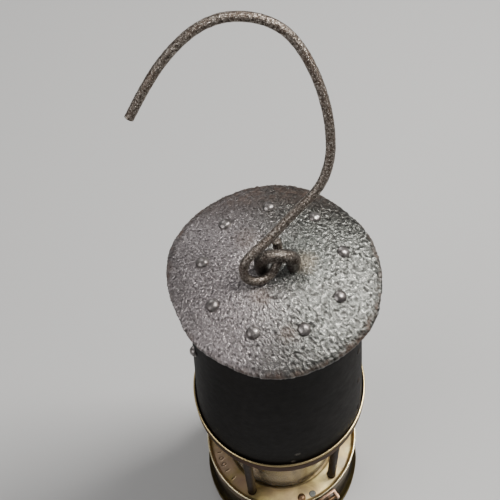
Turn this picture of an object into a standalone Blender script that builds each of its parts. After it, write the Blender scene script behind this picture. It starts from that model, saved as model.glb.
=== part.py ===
# Miner's flame safety lamp: oil font, glass held between two turned rings by
# five pillars, tapered sheet bonnet over two gauzes, riveted domed crown,
# staple and hanging hook.
#
# Lengths are written in millimetres and scaled by MM.  +Z is up, the origin is
# the centre of the flat underside of the font, the front of the lamp is -Y.

import math

import bmesh
import bpy
from mathutils import Matrix, Vector

MM = 0.001
GAP = 0.3                      # working gap between neighbouring pieces

# ----------------------------------------------------------- driving sizes
FOOT_R = 46.0                  # widest radius, the flared foot of the font
FONT_R = 42.6                  # wall of the oil font
FONT_TOP_Z = 39.6              # top face of the font's flange
NECK_R = 31.9                  # crest radius of the font's threaded neck
THREAD_PITCH = 1.5             # font thread, lift per turn

BASE_RING_R = 43.0             # lower ring, over its raised rim
BASE_RING_Z0 = 40.0
BASE_RIM_Z = 54.0
BASE_FLOOR_Z = 50.6            # dished floor of the lower ring
BORE_R = 32.2                  # bore of the lower ring

GLASS_R = 30.0
GLASS_WALL = 5.0
GLASS_Z0 = 48.7
GLASS_Z1 = 129.6

PILLAR_CIRCLE_R = 37.0
PILLAR_R = 2.35
PILLAR_DEGREES = (-119.0, -42.0, 28.75, 99.5, 170.25)   # widest at the front, where the lock is

MID_RING_R = 42.7
MID_RING_Z0 = 129.7
MID_LEDGE_Z = 136.0
MID_RING_Z1 = 138.7

BONNET_FOOT_R = 41.3
BONNET_Z0 = 136.3
BONNET_Z1 = 251.0
BONNET_TAPER = 0.066           # radius lost per unit of height
BONNET_T = 0.9
LAP_T = 0.6                    # extra thickness where the sheet laps at its seam
SEAM_DEG = -24.7
VENT_COUNT = 16
VENT_R = 2.2
VENT_Z = 244.2

CROWN_R = 41.0
CROWN_APEX_Z = 264.3
CROWN_RISE = 9.4
CROWN_T = 1.6
CROWN_SEAT_DROP = 1.7          # the staple's hammered seat at the middle
RIVET_COUNT = 9
RIVET_CIRCLE_R = 27.2
RIVET_FIRST_DEG = 11.7

STAPLE_R = 2.6                 # wire radius
STAPLE_HALF = 6.0
STAPLE_X = 1.5
STAPLE_Y = -1.0
STAPLE_LEAN_DEG = 9.3
STAPLE_HEIGHT = 12.97
HOOK_R = 1.75                   # wire radius
HOOK_LEAN_DEG = 33.5           # how far the hook leans back from upright
HOOK_AXIS = Vector((0.0, -3.1, 275.4))

HASP_DEG = -58.0
HASP_PIN_R = 47.0
HASP_PIN_Z = 51.6

BIG, MID, SMALL = 36, 24, 10   # steps round a turned piece


# ------------------------------------------------------------------ helpers
for old in list(bpy.data.objects):
    bpy.data.objects.remove(old, do_unlink=True)

scene = bpy.context.scene
lamp = bpy.data.collections.new("miners_safety_lamp")
tools = bpy.data.collections.new("cutters")
scene.collection.children.link(lamp)
scene.collection.children.link(tools)
tools.hide_render = True

MATERIALS = {}


def finish(name, colour, roughness, metallic, alpha=1.0):
    m = bpy.data.materials.new(name)
    m.use_nodes = True
    b = m.node_tree.nodes["Principled BSDF"]
    b.inputs["Base Color"].default_value = (*colour, 1.0)
    b.inputs["Roughness"].default_value = roughness
    b.inputs["Metallic"].default_value = metallic
    b.inputs["Alpha"].default_value = alpha
    MATERIALS[name] = m
    return m


finish("black_iron", (0.022, 0.020, 0.020), 0.55, 0.6)
finish("pitted_iron", (0.085, 0.080, 0.078), 0.45, 0.8)
finish("rusty_steel", (0.12, 0.10, 0.085), 0.5, 0.8)
finish("bronze_iron", (0.10, 0.075, 0.05), 0.45, 0.8)
finish("aged_brass", (0.50, 0.40, 0.22), 0.35, 1.0)
finish("dark_brass", (0.23, 0.17, 0.075), 0.4, 1.0)
finish("copper", (0.48, 0.30, 0.24), 0.4, 1.0)
finish("lead", (0.30, 0.32, 0.34), 0.6, 0.9)
finish("glass", (0.85, 0.86, 0.82), 0.15, 0.0, 0.35)
finish("gauze", (0.10, 0.09, 0.08), 0.6, 0.7)
finish("leather", (0.16, 0.09, 0.05), 0.8, 0.0)
finish("fibre", (0.45, 0.42, 0.36), 0.85, 0.0)
finish("cotton", (0.72, 0.66, 0.55), 0.95, 0.0)


def place(obj, material, collection=lamp):
    collection.objects.link(obj)
    if material:
        obj.data.materials.append(MATERIALS[material])
    if collection is tools:
        obj.hide_render = True
        obj.display_type = "WIRE"
    return obj


def mesh_object(name, bm, material, collection=lamp):
    mesh = bpy.data.meshes.new(name)
    bm.to_mesh(mesh)
    bm.free()
    return place(bpy.data.objects.new(name, mesh), material, collection)


def turned(name, points, steps, material, at=(0, 0, 0), matrix=None):
    """A turned piece.  points are (radius, height) pairs that run down the
    outer side; a profile whose ends lie off the axis is closed into a ring."""
    bm = bmesh.new()
    rows = [bm.verts.new((r * MM, 0.0, z * MM)) for r, z in points]
    for a, b in zip(rows, rows[1:]):
        bm.edges.new((a, b))
    if points[0][0] > 0 and points[-1][0] > 0:
        bm.edges.new((rows[-1], rows[0]))
    obj = mesh_object(name, bm, material)
    screw = obj.modifiers.new("turn", "SCREW")
    screw.axis = "Z"
    screw.angle = math.tau
    screw.steps = screw.render_steps = steps
    screw.use_merge_vertices = True
    screw.merge_threshold = 0.00001
    screw.use_smooth_shade = True
    obj.location = Vector(at) * MM
    if matrix is not None:
        obj.matrix_world = matrix
    return obj


def applied(obj):
    """Turns the object's modifiers or curve into plain mesh."""
    bpy.context.view_layer.update()
    graph = bpy.context.evaluated_depsgraph_get()
    mesh = bpy.data.meshes.new_from_object(obj.evaluated_get(graph))
    mesh.name = obj.name
    if obj.type == "CURVE":
        bm = bmesh.new()
        bm.from_mesh(mesh)
        bmesh.ops.remove_doubles(bm, verts=bm.verts, dist=1e-6)
        bm.to_mesh(mesh)
        bm.free()
        new = bpy.data.objects.new(obj.name + "_m", mesh)
        new.matrix_world = obj.matrix_world.copy()
        for c in obj.users_collection:
            c.objects.link(new)
        name = obj.name
        bpy.data.objects.remove(obj, do_unlink=True)
        new.name = name
        return new
    obj.modifiers.clear()
    obj.data = mesh
    return obj


def add_cylinder(bm, start, end, radius, steps, radius_end=None):
    start, end = Vector(start) * MM, Vector(end) * MM
    run = end - start
    turn = run.to_track_quat("Z", "Y").to_matrix().to_4x4()
    bmesh.ops.create_cone(
        bm, cap_ends=True, segments=steps,
        radius1=radius * MM,
        radius2=(radius if radius_end is None else radius_end) * MM,
        depth=run.length,
        matrix=Matrix.Translation((start + end) / 2) @ turn,
    )


def add_box(bm, size, centre, rotation=None):
    m = Matrix.Translation(Vector(centre) * MM)
    if rotation is not None:
        m = m @ rotation
    m = m @ Matrix.Diagonal((size[0] * MM, size[1] * MM, size[2] * MM, 1.0))
    bmesh.ops.create_cube(bm, size=1.0, matrix=m)


def drilled(obj, holes, name, steps=SMALL):
    """holes: (start, end, radius) of straight drillings, apart from each other."""
    bm = bmesh.new()
    for start, end, radius in holes:
        add_cylinder(bm, start, end, radius, steps)
    cutter = mesh_object(name, bm, None, tools)
    return combine(obj, cutter, "DIFFERENCE")


def combine(obj, other, operation):
    mod = obj.modifiers.new("join_" + other.name, "BOOLEAN")
    mod.operation = operation
    mod.solver = "EXACT"
    mod.object = other
    return obj


def polar(radius, degrees, z):
    a = math.radians(degrees)
    return Vector((radius * math.cos(a), radius * math.sin(a), z))


def smooth_path(points, step):
    """Evenly spaced points on a smooth curve through the given ones."""
    pts = [Vector(p) for p in points]
    full = [2 * pts[0] - pts[1]] + pts + [2 * pts[-1] - pts[-2]]
    dense = []
    for i in range(1, len(full) - 2):
        p0, p1, p2, p3 = full[i - 1:i + 3]
        for k in range(24):
            t = k / 24
            dense.append(0.5 * ((2 * p1) + (p2 - p0) * t
                                + (2 * p0 - 5 * p1 + 4 * p2 - p3) * t * t
                                + (3 * p1 - p0 - 3 * p2 + p3) * t ** 3))
    dense.append(pts[-1])
    length = sum((b - a).length for a, b in zip(dense, dense[1:]))
    count = max(2, round(length / step))
    out, travelled, target = [dense[0]], 0.0, length / count
    for a, b in zip(dense, dense[1:]):
        d = (b - a).length
        while travelled + d >= target - 1e-9 and len(out) < count:
            out.append(a.lerp(b, (target - travelled) / d))
            target += length / count
        travelled += d
    out.append(dense[-1])
    return out


def wire(name, points, radius, material, resolution=2):
    curve = bpy.data.curves.new(name, "CURVE")
    curve.dimensions = "3D"
    curve.bevel_depth = radius * MM
    curve.bevel_resolution = resolution
    curve.use_fill_caps = True
    spline = curve.splines.new("POLY")
    spline.points.add(len(points) - 1)
    for point, p in zip(spline.points, points):
        point.co = (p[0] * MM, p[1] * MM, p[2] * MM, 1.0)
    return place(bpy.data.objects.new(name, curve), material)


# --------------------------------------------------------------- oil font
turned("font_bottom", [
    (0, 2.3), (40.4, 2.3), (40.4, 6.0), (43.6, 6.0), (43.6, 2.3), (45.4, 2.3),
    (45.9, 1.8), (45.9, 0.5), (45.4, 0.0), (0, 0.0)], BIG, "dark_brass")
drilled(bpy.data.objects["font_bottom"],
        [((13, 0, -2), (13, 0, 5), 8.6)], "cut_pricker_pocket", 24)

turned("font_wall", [
    (42.0, 37.4), (FONT_R, 36.8), (FONT_R, 18.0), (42.9, 14.4), (43.8, 11.8),
    (45.4, 9.9), (FOOT_R, 8.4), (FOOT_R, 3.6), (45.3, 2.7), (44.0, 2.7),
    (44.0, 8.6), (42.2, 11.0), (41.1, 14.0), (40.8, 18.0), (40.8, 37.4)],
    BIG, "dark_brass")

turned("font_top", [
    (0, 39.0), (29.0, 39.0), (29.2, 44.4), (29.6, 44.7), (31.4, 44.7),
    (NECK_R, 44.0), (31.3, 43.3), (NECK_R, 42.5), (31.3, 41.8),
    (NECK_R, 41.0), (31.2, 40.3), (31.2, FONT_TOP_Z), (41.9, FONT_TOP_Z), (42.4, 39.1),
    (42.4, 38.1), (42.0, 37.7), (40.4, 37.7), (40.4, 37.0), (0, 37.0)],
    BIG, "dark_brass")
drilled(bpy.data.objects["font_top"], [
    ((0, 0, 34), (0, 0, 42), 5.4),
    ((-16, 0, 34), (-16, 0, 42), 4.9),
    ((13, 0, 34), (13, 0, 42), 1.95)], "cut_font_top", 16)

# lug on the font's wall that the lock's hasp closes over
hasp_turn = Matrix.Rotation(math.radians(HASP_DEG), 4, "Z")


def hasp_frame(r, t, z):
    """Radius, distance along the tangent and height at the lock, as a point."""
    a = math.radians(HASP_DEG)
    return Vector((r * math.cos(a) - t * math.sin(a),
                   r * math.sin(a) + t * math.cos(a), z))


bm = bmesh.new()
add_box(bm, (5.1, 7.6, 12.6), hasp_frame(45.85, 0, 36.7), hasp_turn)
lug = mesh_object("font_lock_lug", bm, "copper")
bm = bmesh.new()
add_cylinder(bm, hasp_frame(42.0, 0, 38.4), hasp_frame(50.0, 0, 38.4), 1.7, SMALL)
combine(lug, mesh_object("cut_lug_hole", bm, None, tools), "DIFFERENCE")
bev = lug.modifiers.new("edges", "BEVEL")
bev.width = 0.6 * MM
bev.segments = 1
bev.limit_method = "ANGLE"
bev.angle_limit = math.radians(60)

# wick tube, its collar, the wick and the cotton that soaks up the oil
turned("wick_tube", [(4.2, 66.0), (4.9, 66.0), (5.0, 65.8), (5.0, 12.0),
                     (4.2, 12.0)], 24, "aged_brass")
turned("wick_tube_collar", [(5.4, 50.0), (6.3, 50.0), (6.9, 46.5), (8.2, 41.4),
                            (8.2, 39.3), (5.4, 39.3)], 24, "aged_brass")
turned("wick", [(0, 67.6), (2.8, 67.5), (3.6, 66.8), (3.6, 7.0), (0, 7.0)],
       16, "cotton")
turned("cotton_packing", [(17.5, 31.0), (35.0, 31.0), (37.0, 29.0),
                          (37.0, 15.0), (35.0, 13.0), (17.5, 13.0)],
       24, "cotton")

# pricker: a wire that lifts and trims the wick from below the font
turned("pricker_well", [(1.95, 10.5), (8.2, 10.5), (8.2, 0.6), (7.4, 0.6),
                        (7.4, 9.3), (1.95, 9.3)], 24, "dark_brass",
       at=(13, 0, 0))
turned("pricker_tube", [(1.15, 42.4), (1.65, 42.4), (1.65, 10.9),
                        (1.15, 10.9)], SMALL, "aged_brass", at=(13, 0, 0))
shaft = [Vector((13, 0, z)) for z in (3.0, 10.0, 20.0, 30.0, 40.0, 50.0, 60.0, 66.0)]
elbow = [Vector((13 - 4 * (1 - math.cos(a)), 0, 66.0 + 4 * math.sin(a)))
         for a in [math.radians(d) for d in (22.5, 45, 67.5, 90)]]
tip = [Vector((6.0, 0, 70.0)), Vector((2.6, 0, 69.7)), Vector((1.0, 0, 68.9))]
pricker = applied(wire("pricker_wire", shaft + elbow + tip, 0.8, "rusty_steel"))
bm = bmesh.new()
add_cylinder(bm, (13, 0, 1.2), (13, 0, 4.0), 4.6, 20)
knob = mesh_object("join_pricker_knob", bm, None, tools)
combine(pricker, knob, "UNION")

# filler plug with its leather washer
turned("filler_washer", [(4.9, 40.3), (6.8, 40.3), (6.8, 39.3), (4.9, 39.3)],
       20, "leather", at=(-16, 0, 0))
turned("filler_cap", [(0, 43.0), (6.4, 43.0), (7.0, 42.5), (7.0, 40.6),
                      (4.5, 40.6), (4.5, 35.2), (4.0, 34.7), (0, 34.7)],
       20, "aged_brass", at=(-16, 0, 0))
bm = bmesh.new()
add_box(bm, (18, 1.6, 2.0), (-16, 0, 43.0))
combine(bpy.data.objects["filler_cap"],
        mesh_object("cut_cap_slot", bm, None, tools), "DIFFERENCE")

# ------------------------------------------------------------- lower ring
turned("font_seal", [(35.1, 41.3), (40.5, 41.3), (40.5, 39.9), (35.1, 39.9)],
       MID, "leather")

turned("lower_ring", [
    (BORE_R, 49.2), (31.0, 49.2), (31.0, 50.2), (33.4, 50.45), (41.2, 50.8), (41.8, 52.6),
    (42.1, BASE_RIM_Z), (42.8, BASE_RIM_Z), (BASE_RING_R, 53.6),
    (BASE_RING_R, 52.9), (42.6, 52.5), (42.9, 52.0), (42.9, 40.6),
    (42.4, BASE_RING_Z0), (40.9, BASE_RING_Z0), (40.9, 41.6), (34.7, 41.6),
    (34.7, BASE_RING_Z0), (BORE_R, BASE_RING_Z0)], BIG, "aged_brass")

pillar_degrees = PILLAR_DEGREES
LEAD_PLUG = polar(38.9, -65.5, 0)
LOCK_RIVET = polar(38.6, -75.2, 0)
drilled(bpy.data.objects["lower_ring"],
        [(polar(PILLAR_CIRCLE_R, d, 45.6), polar(PILLAR_CIRCLE_R, d, 56.0), 1.9)
         for d in pillar_degrees]
        + [(LEAD_PLUG + Vector((0, 0, 44.0)), LEAD_PLUG + Vector((0, 0, 56.0)), 2.3),
           (LOCK_RIVET + Vector((0, 0, 44.0)), LOCK_RIVET + Vector((0, 0, 56.0)), 1.6)],
        "cut_lower_ring")

turned("lead_plug", [(0, 51.0), (1.6, 50.95), (2.0, 50.6), (2.0, 44.4),
                     (0, 44.4)], SMALL, "lead",
       at=(LEAD_PLUG.x, LEAD_PLUG.y, 0))
turned("lock_rivet", [(0, 52.4), (1.3, 52.2), (2.2, 51.5), (2.3, 51.1),
                      (1.3, 51.1), (1.3, 44.4), (0, 44.4)], SMALL,
       "bronze_iron", at=(LOCK_RIVET.x, LOCK_RIVET.y, 0))

# lock hasp hinged on the rim
bm = bmesh.new()
add_box(bm, (1.4, 12.4, 7.0), hasp_frame(44.05, 0, 49.9), hasp_turn)
block = mesh_object("hasp_hinge_block", bm, "copper")
for side in (-1, 1):
    bm = bmesh.new()
    add_box(bm, (4.6, 1.5, 3.6), hasp_frame(46.6, side * 5.4, 51.5), hasp_turn)
    ear = mesh_object("join_ear_%d" % side, bm, None, tools)
    combine(block, ear, "UNION")
bm = bmesh.new()
add_cylinder(bm, hasp_frame(HASP_PIN_R, -9, HASP_PIN_Z),
             hasp_frame(HASP_PIN_R, 9, HASP_PIN_Z), 1.3, SMALL)
combine(block, mesh_object("cut_block_pin", bm, None, tools), "DIFFERENCE")

bm = bmesh.new()
add_cylinder(bm, hasp_frame(HASP_PIN_R, -6.9, HASP_PIN_Z),
             hasp_frame(HASP_PIN_R, 6.9, HASP_PIN_Z), 1.0, SMALL)
mesh_object("hasp_hinge_pin", bm, "bronze_iron")

# the hasp: an eye round the pin, a plate sloping out, and a leg turned down
bm = bmesh.new()
add_cylinder(bm, hasp_frame(HASP_PIN_R, -4.2, HASP_PIN_Z),
             hasp_frame(HASP_PIN_R, 4.2, HASP_PIN_Z), 1.95, 16)
hasp = mesh_object("lock_hasp", bm, "copper")
slope = math.radians(24)
tilt = hasp_turn @ Matrix.Rotation(slope, 4, "Y")
bm = bmesh.new()
run = 6.4
mid = Vector((HASP_PIN_R + 0.35 + run / 2 * math.cos(slope), 0,
              HASP_PIN_Z + 1.05 - run / 2 * math.sin(slope)))
add_box(bm, (run, 8.4, 1.7), hasp_frame(mid.x, 0, mid.z), tilt)
combine(hasp, mesh_object("join_hasp_plate", bm, None, tools), "UNION")
bm = bmesh.new()
add_box(bm, (1.7, 8.4, 15.4), hasp_frame(52.1, 0, 42.75), hasp_turn)
combine(hasp, mesh_object("join_hasp_leg", bm, None, tools), "UNION")
bm = bmesh.new()
add_cylinder(bm, hasp_frame(HASP_PIN_R, -9, HASP_PIN_Z),
             hasp_frame(HASP_PIN_R, 9, HASP_PIN_Z), 1.3, SMALL)
add_cylinder(bm, hasp_frame(50.0, 0, 38.4), hasp_frame(56.0, 0, 38.4), 1.7, SMALL)
combine(hasp, mesh_object("cut_hasp", bm, None, tools), "DIFFERENCE")

# --------------------------------------------------- glass and its seating
turned("glass_seat_ring", [(24.6, 47.0), (31.5, 47.0), (NECK_R, 46.6),
                           (NECK_R, 45.0), (24.6, 45.0)], MID, "aged_brass")
turned("glass_bottom_washer", [(25.3, 48.4), (29.8, 48.4), (29.8, 47.3),
                               (25.3, 47.3)], MID, "fibre")
inner_r = GLASS_R - GLASS_WALL
turned("glass_cylinder", [
    (inner_r + 0.4, GLASS_Z1), (GLASS_R - 0.4, GLASS_Z1),
    (GLASS_R, GLASS_Z1 - 0.4), (GLASS_R, GLASS_Z0 + 0.4),
    (GLASS_R - 0.4, GLASS_Z0), (inner_r + 0.4, GLASS_Z0),
    (inner_r, GLASS_Z0 + 0.4), (inner_r, GLASS_Z1 - 0.4)], BIG, "glass")
turned("glass_top_washer", [(26.9, 130.9), (29.8, 130.9), (29.8, 129.9),
                            (26.9, 129.9)], MID, "fibre")

pillar_profile = [
    (0, 135.6), (1.3, 135.6), (1.6, 135.3), (1.6, 129.4), (2.6, 129.4),
    (2.6, 128.6), (PILLAR_R, 128.0), (PILLAR_R, 52.9), (2.55, 52.2),
    (2.55, 51.1), (1.6, 51.1), (1.6, 46.2), (0, 46.2)]
for k, degrees in enumerate(pillar_degrees):
    p = polar(PILLAR_CIRCLE_R, degrees, 0)
    turned("pillar_%d" % (k + 1), pillar_profile, SMALL, "bronze_iron",
           at=(p.x, p.y, 0))

# ------------------------------------------------------------- middle ring
turned("middle_ring", [
    (26.5, MID_LEDGE_Z), (41.6, MID_LEDGE_Z), (41.6, 138.3),
    (41.9, MID_RING_Z1), (42.3, MID_RING_Z1), (MID_RING_R, 138.3),
    (MID_RING_R, 130.1), (42.3, MID_RING_Z0), (30.5, MID_RING_Z0),
    (30.5, 131.2), (26.5, 131.2)], BIG, "dark_brass")
drilled(bpy.data.objects["middle_ring"],
        [(polar(PILLAR_CIRCLE_R, d, 125.0), polar(PILLAR_CIRCLE_R, d, 140.0), 1.9)
         for d in pillar_degrees], "cut_middle_ring")

# ----------------------------------------------------- gauzes on their ring
turned("gauze_seat_ring", [(17.6, 137.3), (31.0, 137.3), (31.0, 136.3),
                           (17.6, 136.3)], MID, "aged_brass")
turned("gauze_inner", [(0, 231.0), (14.6, 231.0), (15.6, 230.2), (19.0, 137.6),
                       (18.3, 137.6), (14.9, 229.6), (14.3, 230.3),
                       (0, 230.3)], 24, "gauze")
turned("gauze_outer", [(0, 236.0), (18.2, 236.0), (19.2, 235.2), (22.6, 137.6),
                       (21.9, 137.6), (18.5, 234.6), (17.9, 235.3),
                       (0, 235.3)], 24, "gauze")


# ------------------------------------------------------------------ bonnet
def bonnet_radius(z):
    return BONNET_FOOT_R - BONNET_TAPER * (z - BONNET_Z0)


turned("bonnet_shell", [
    (bonnet_radius(BONNET_Z1) - BONNET_T, BONNET_Z1),
    (bonnet_radius(BONNET_Z1), BONNET_Z1),
    (bonnet_radius(BONNET_Z0), BONNET_Z0),
    (bonnet_radius(BONNET_Z0) - BONNET_T, BONNET_Z0)], 48, "black_iron")
bm = bmesh.new()
# the lapped sheet rises slowly from one side and ends in a step on the other
lap_line = [(-26.0, -0.15), (-19.0, 0.1), (-12.0, 0.35), (-4.2, LAP_T), (0.6, LAP_T),
            (5.4, LAP_T)]
rows = []
for off, lift in lap_line:
    for z in (139.3, 250.4):
        rows.append([bm.verts.new(polar(bonnet_radius(z) + d, SEAM_DEG + off, z) * MM)
                     for d in (-0.35, lift)])
for (a, b), (c, d) in zip(zip(rows[0::2], rows[1::2]), zip(rows[2::2], rows[3::2])):
    bm.faces.new((a[1], c[1], d[1], b[1]))
    bm.faces.new((a[0], b[0], d[0], c[0]))
    bm.faces.new((a[0], c[0], c[1], a[1]))
    bm.faces.new((b[0], b[1], d[1], d[0]))
bm.faces.new((rows[0][0], rows[0][1], rows[1][1], rows[1][0]))
bm.faces.new((rows[-2][0], rows[-1][0], rows[-1][1], rows[-2][1]))
bmesh.ops.recalc_face_normals(bm, faces=bm.faces)
bonnet = combine(bpy.data.objects["bonnet_shell"],
                 mesh_object("join_seam_lap", bm, None, tools), "UNION")
SEAM_RIVETS = [(SEAM_DEG, 146.5), (SEAM_DEG, 180.0), (SEAM_DEG, 212.5),
               (SEAM_DEG, 244.2)]
SIDE_RIVET = (-162.7, 209.0)
vents = []
for k in range(VENT_COUNT):
    d = SEAM_DEG + (k + 0.5) * 360 / VENT_COUNT
    vents.append((polar(28, d, VENT_Z), polar(44, d, VENT_Z), VENT_R))
for d, z in SEAM_RIVETS + [SIDE_RIVET]:
    slant = BONNET_TAPER * 8
    vents.append((polar(bonnet_radius(z) - 8, d, z - slant),
                  polar(bonnet_radius(z) + 8, d, z + slant), 1.2))
drilled(bonnet, vents, "cut_bonnet", 8)


def rivet_matrix(base, normal):
    turn = normal.normalized().to_track_quat("Z", "Y").to_matrix().to_4x4()
    return Matrix.Translation(base * MM) @ turn


def rivet_profile(head_r, head_h, lift, shank_r, grip, tail_r, tail_h):
    """A domed head lift above the plate, its shank and the closed tail."""
    top = [(head_r * math.sin(a), lift + head_h * math.cos(a))
           for a in (0.0, 0.65, 1.15)]
    return top + [(head_r, lift), (shank_r, lift), (shank_r, -grip),
                  (tail_r, -grip), (tail_r * 0.8, -grip - tail_h),
                  (0, -grip - tail_h)]


seam_head = (1.5, 0.6, LAP_T + GAP, 0.85, BONNET_T + GAP, 1.5, 0.6)
side_head = (2.4, 1.9, GAP, 0.85, BONNET_T + GAP, 1.9, 0.8)
for k, (d, z) in enumerate(SEAM_RIVETS + [SIDE_RIVET]):
    name = "bonnet_seam_rivet_%d" % (k + 1) if k < len(SEAM_RIVETS) else "bonnet_side_rivet"
    out = polar(1.0, d, BONNET_TAPER)
    turned(name, rivet_profile(*(seam_head if k < len(SEAM_RIVETS) else side_head)),
           8, "black_iron",
           matrix=rivet_matrix(polar(bonnet_radius(z), d, z), out))


# ------------------------------------------------------------------- crown
def crown_z(r):
    return (CROWN_APEX_Z - CROWN_RISE * (r / CROWN_R) ** 2
            - CROWN_SEAT_DROP * math.exp(-(r / 11.0) ** 4))


turned("bonnet_top_ring", [
    (24.5, crown_z(24.5) - CROWN_T - 0.35), (27.4, crown_z(27.4) - CROWN_T - 0.35),
    (30.0, crown_z(30.0) - CROWN_T - 0.35), (30.8, 256.2), (32.4, 251.6),
    (32.4, 247.3), (31.3, 247.3), (31.3, 251.3), (29.9, 255.2),
    (29.0, 256.0), (27.4, 256.6), (24.5, 257.4)], BIG, "black_iron")

RIM_WAVES = ((161, 1.3), (-158, -1.3), (-122, -0.8), (-90, 0.5), (-32, 1.0),
             (44, -1.0), (138, 0.6), (82, 0.3))


def rim_wave(degrees):
    """The hand-hammered rim's departure from a true circle."""
    total = 0.0
    for centre, height in RIM_WAVES:
        off = (degrees - centre + 180) % 360 - 180
        total += height * math.exp(-(off / 15.0) ** 2)
    return total


top = [(r, crown_z(r)) for r in (0, 5.0, 8.5, 11.5, 15.0, 20.0, 27.4, 34.0, 39.0)]
rim = [(40.5, 254.75), (CROWN_R, 254.1), (40.9, 253.0), (40.2, 252.7),
       (39.5, 253.35)]
under = [(r, crown_z(r) - CROWN_T) for r in (34.0, 27.4, 20.0, 13.5, 9.0, 5.0, 0)]
crown = applied(turned("crown_plate", top + rim + under, BIG, "pitted_iron"))
for v in crown.data.vertices:
    r = math.hypot(v.co.x, v.co.y) / MM
    if r > 28.0:
        share = ((r - 28.0) / 13.0) ** 1.5
        wave = rim_wave(math.degrees(math.atan2(v.co.y, v.co.x))) * share
        v.co.x *= (r + wave) / r
        v.co.y *= (r + wave) / r

# direction of the leaning staple, and its foot on the crown
staple_up = Vector((0, -math.sin(math.radians(STAPLE_LEAN_DEG)),
                    math.cos(math.radians(STAPLE_LEAN_DEG))))
staple_foot = Vector((STAPLE_X, STAPLE_Y, crown_z(0)))


def staple_point(x, t):
    return staple_foot + Vector((x, 0, 0)) + staple_up * t


rivet_slope = math.atan(2 * CROWN_RISE * RIVET_CIRCLE_R / CROWN_R ** 2)
crown_holes = [(staple_point(s * STAPLE_HALF, -5), staple_point(s * STAPLE_HALF, 5),
                STAPLE_R + GAP + 0.05) for s in (-1, 1)]
rivet_places = []
for k in range(RIVET_COUNT):
    d = RIVET_FIRST_DEG + 360 * k / RIVET_COUNT
    base = polar(RIVET_CIRCLE_R, d, crown_z(RIVET_CIRCLE_R))
    normal = polar(math.sin(rivet_slope), d, math.cos(rivet_slope))
    rivet_places.append((base, normal))
rivet_holes = [(b - n * 7, b + n * 4, 1.65) for b, n in rivet_places]
drilled(crown, crown_holes + rivet_holes, "cut_crown", 8)
drilled(bpy.data.objects["bonnet_top_ring"], rivet_holes, "cut_top_ring", 8)
for k, (base, normal) in enumerate(rivet_places):
    turned("crown_rivet_%d" % (k + 1),
           rivet_profile(2.5, 1.5, GAP, 1.3, 3.75, 2.2, 0.9),
           8, "pitted_iron", matrix=rivet_matrix(base, normal))

# ----------------------------------------------------- staple under strain
BENDS = {-1: 4.0, 1: 5.6}      # the bar is bent more gently at its right end
arch = [staple_point(-STAPLE_HALF, t) for t in (-5.6, 0.0, 5.0)]
for side, order in ((-1, range(0, 6)), (1, range(5, -1, -1))):
    for k in order:
        a = math.pi / 2 * k / 5
        bend = BENDS[side]
        arch.append(staple_point(
            side * (STAPLE_HALF - bend + bend * math.cos(a)),
            STAPLE_HEIGHT - bend + bend * math.sin(a)))
arch += [staple_point(STAPLE_HALF, t) for t in (5.0, 0.0, -5.6)]
staple = applied(wire("crown_staple", arch, STAPLE_R, "rusty_steel", 2))
for s in (-1, 1):
    bm = bmesh.new()
    add_cylinder(bm, staple_point(s * STAPLE_HALF, -4.9),
                 staple_point(s * STAPLE_HALF, -6.4), 4.0, 16, 3.1)
    combine(staple, mesh_object("join_staple_end_%d" % s, bm, None, tools), "UNION")

bm = bmesh.new()
add_box(bm, (23.0, 10.5, 1.5), (STAPLE_X, STAPLE_Y + 0.4, 259.95))
backing = mesh_object("staple_backing_plate", bm, "black_iron")
drilled(backing, crown_holes, "cut_backing_plate", 12)

# -------------------------------------------------------------------- hook
lean = math.radians(HOOK_LEAN_DEG)
hook_up = Vector((0, math.sin(lean), math.cos(lean)))
hook_back = Vector((0, math.cos(lean), -math.sin(lean)))


def hook_point(u, v, w):
    """u across, v up the leaning hook, w towards its back, from the staple's bar."""
    return HOOK_AXIS + Vector((u, 0, 0)) + hook_up * v + hook_back * w


HOOK_LINE = [
    (-45.6, 54.0, 0), (-39.6, 63.4, 0), (-33.4, 71.7, 0), (-26.4, 78.6, 0),
    (-19.9, 83.0, 0), (-12.8, 85.4, 0), (-5.6, 85.5, 0), (1.5, 83.7, 0),
    (7.5, 79.9, 0), (12.1, 74.2, 0), (15.7, 67.2, 0), (18.4, 59.8, 0),
    (20.2, 52.1, 0), (21.0, 44.0, 0), (20.8, 37.4, 0), (19.0, 30.4, 0),
    (16.3, 25.4, 0), (12.6, 21.2, 0), (8.5, 17.3, 0), (4.6, 13.4, -0.5),
    (0.7, 9.5, -1.1), (-3.5, 5.8, -2.0), (-7.4, 2.4, -2.4), (-9.9, -0.8, -2.1),
    (-10.8, -4.4, -1.2), (-10.2, -8.2, 0.1), (-7.4, -10.5, 1.1),
    (-3.5, -10.3, 2.2), (-0.3, -8.3, 3.6), (1.5, -5.2, 4.9),
    (1.9, -1.4, 5.6), (1.8, 1.8, 5.3), (1.3, 4.0, 4.5)]
path = smooth_path([hook_point(*p) for p in HOOK_LINE], 3.1)
wire("hanging_hook", path, HOOK_R, "rusty_steel", 2)

# A moving piece turns or slides about its own origin.
PIVOTS = {
    "hanging_hook": HOOK_AXIS,
    "lock_hasp": hasp_frame(HASP_PIN_R, 0, HASP_PIN_Z),
    "pricker_wire": Vector((13, 0, 0)),
}
bpy.context.view_layer.update()
for name, pivot in PIVOTS.items():
    obj = bpy.data.objects[name]
    shift = pivot * MM
    if obj.type == "CURVE":
        for point in obj.data.splines[0].points:
            point.co = (point.co[0] - shift.x, point.co[1] - shift.y,
                        point.co[2] - shift.z, 1.0)
        obj.location = shift
    else:
        obj.data.transform(Matrix.Translation(-shift))
        obj.location = shift

for obj in lamp.objects:
    if obj.type == "MESH":
        obj.data.shade_smooth()
        if not any(m.type == "SCREW" for m in obj.modifiers):
            obj.data.set_sharp_from_angle(angle=math.radians(35))
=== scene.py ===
import math

import bmesh
import bpy
import numpy as np
from mathutils import Matrix, Vector, noise


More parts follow.
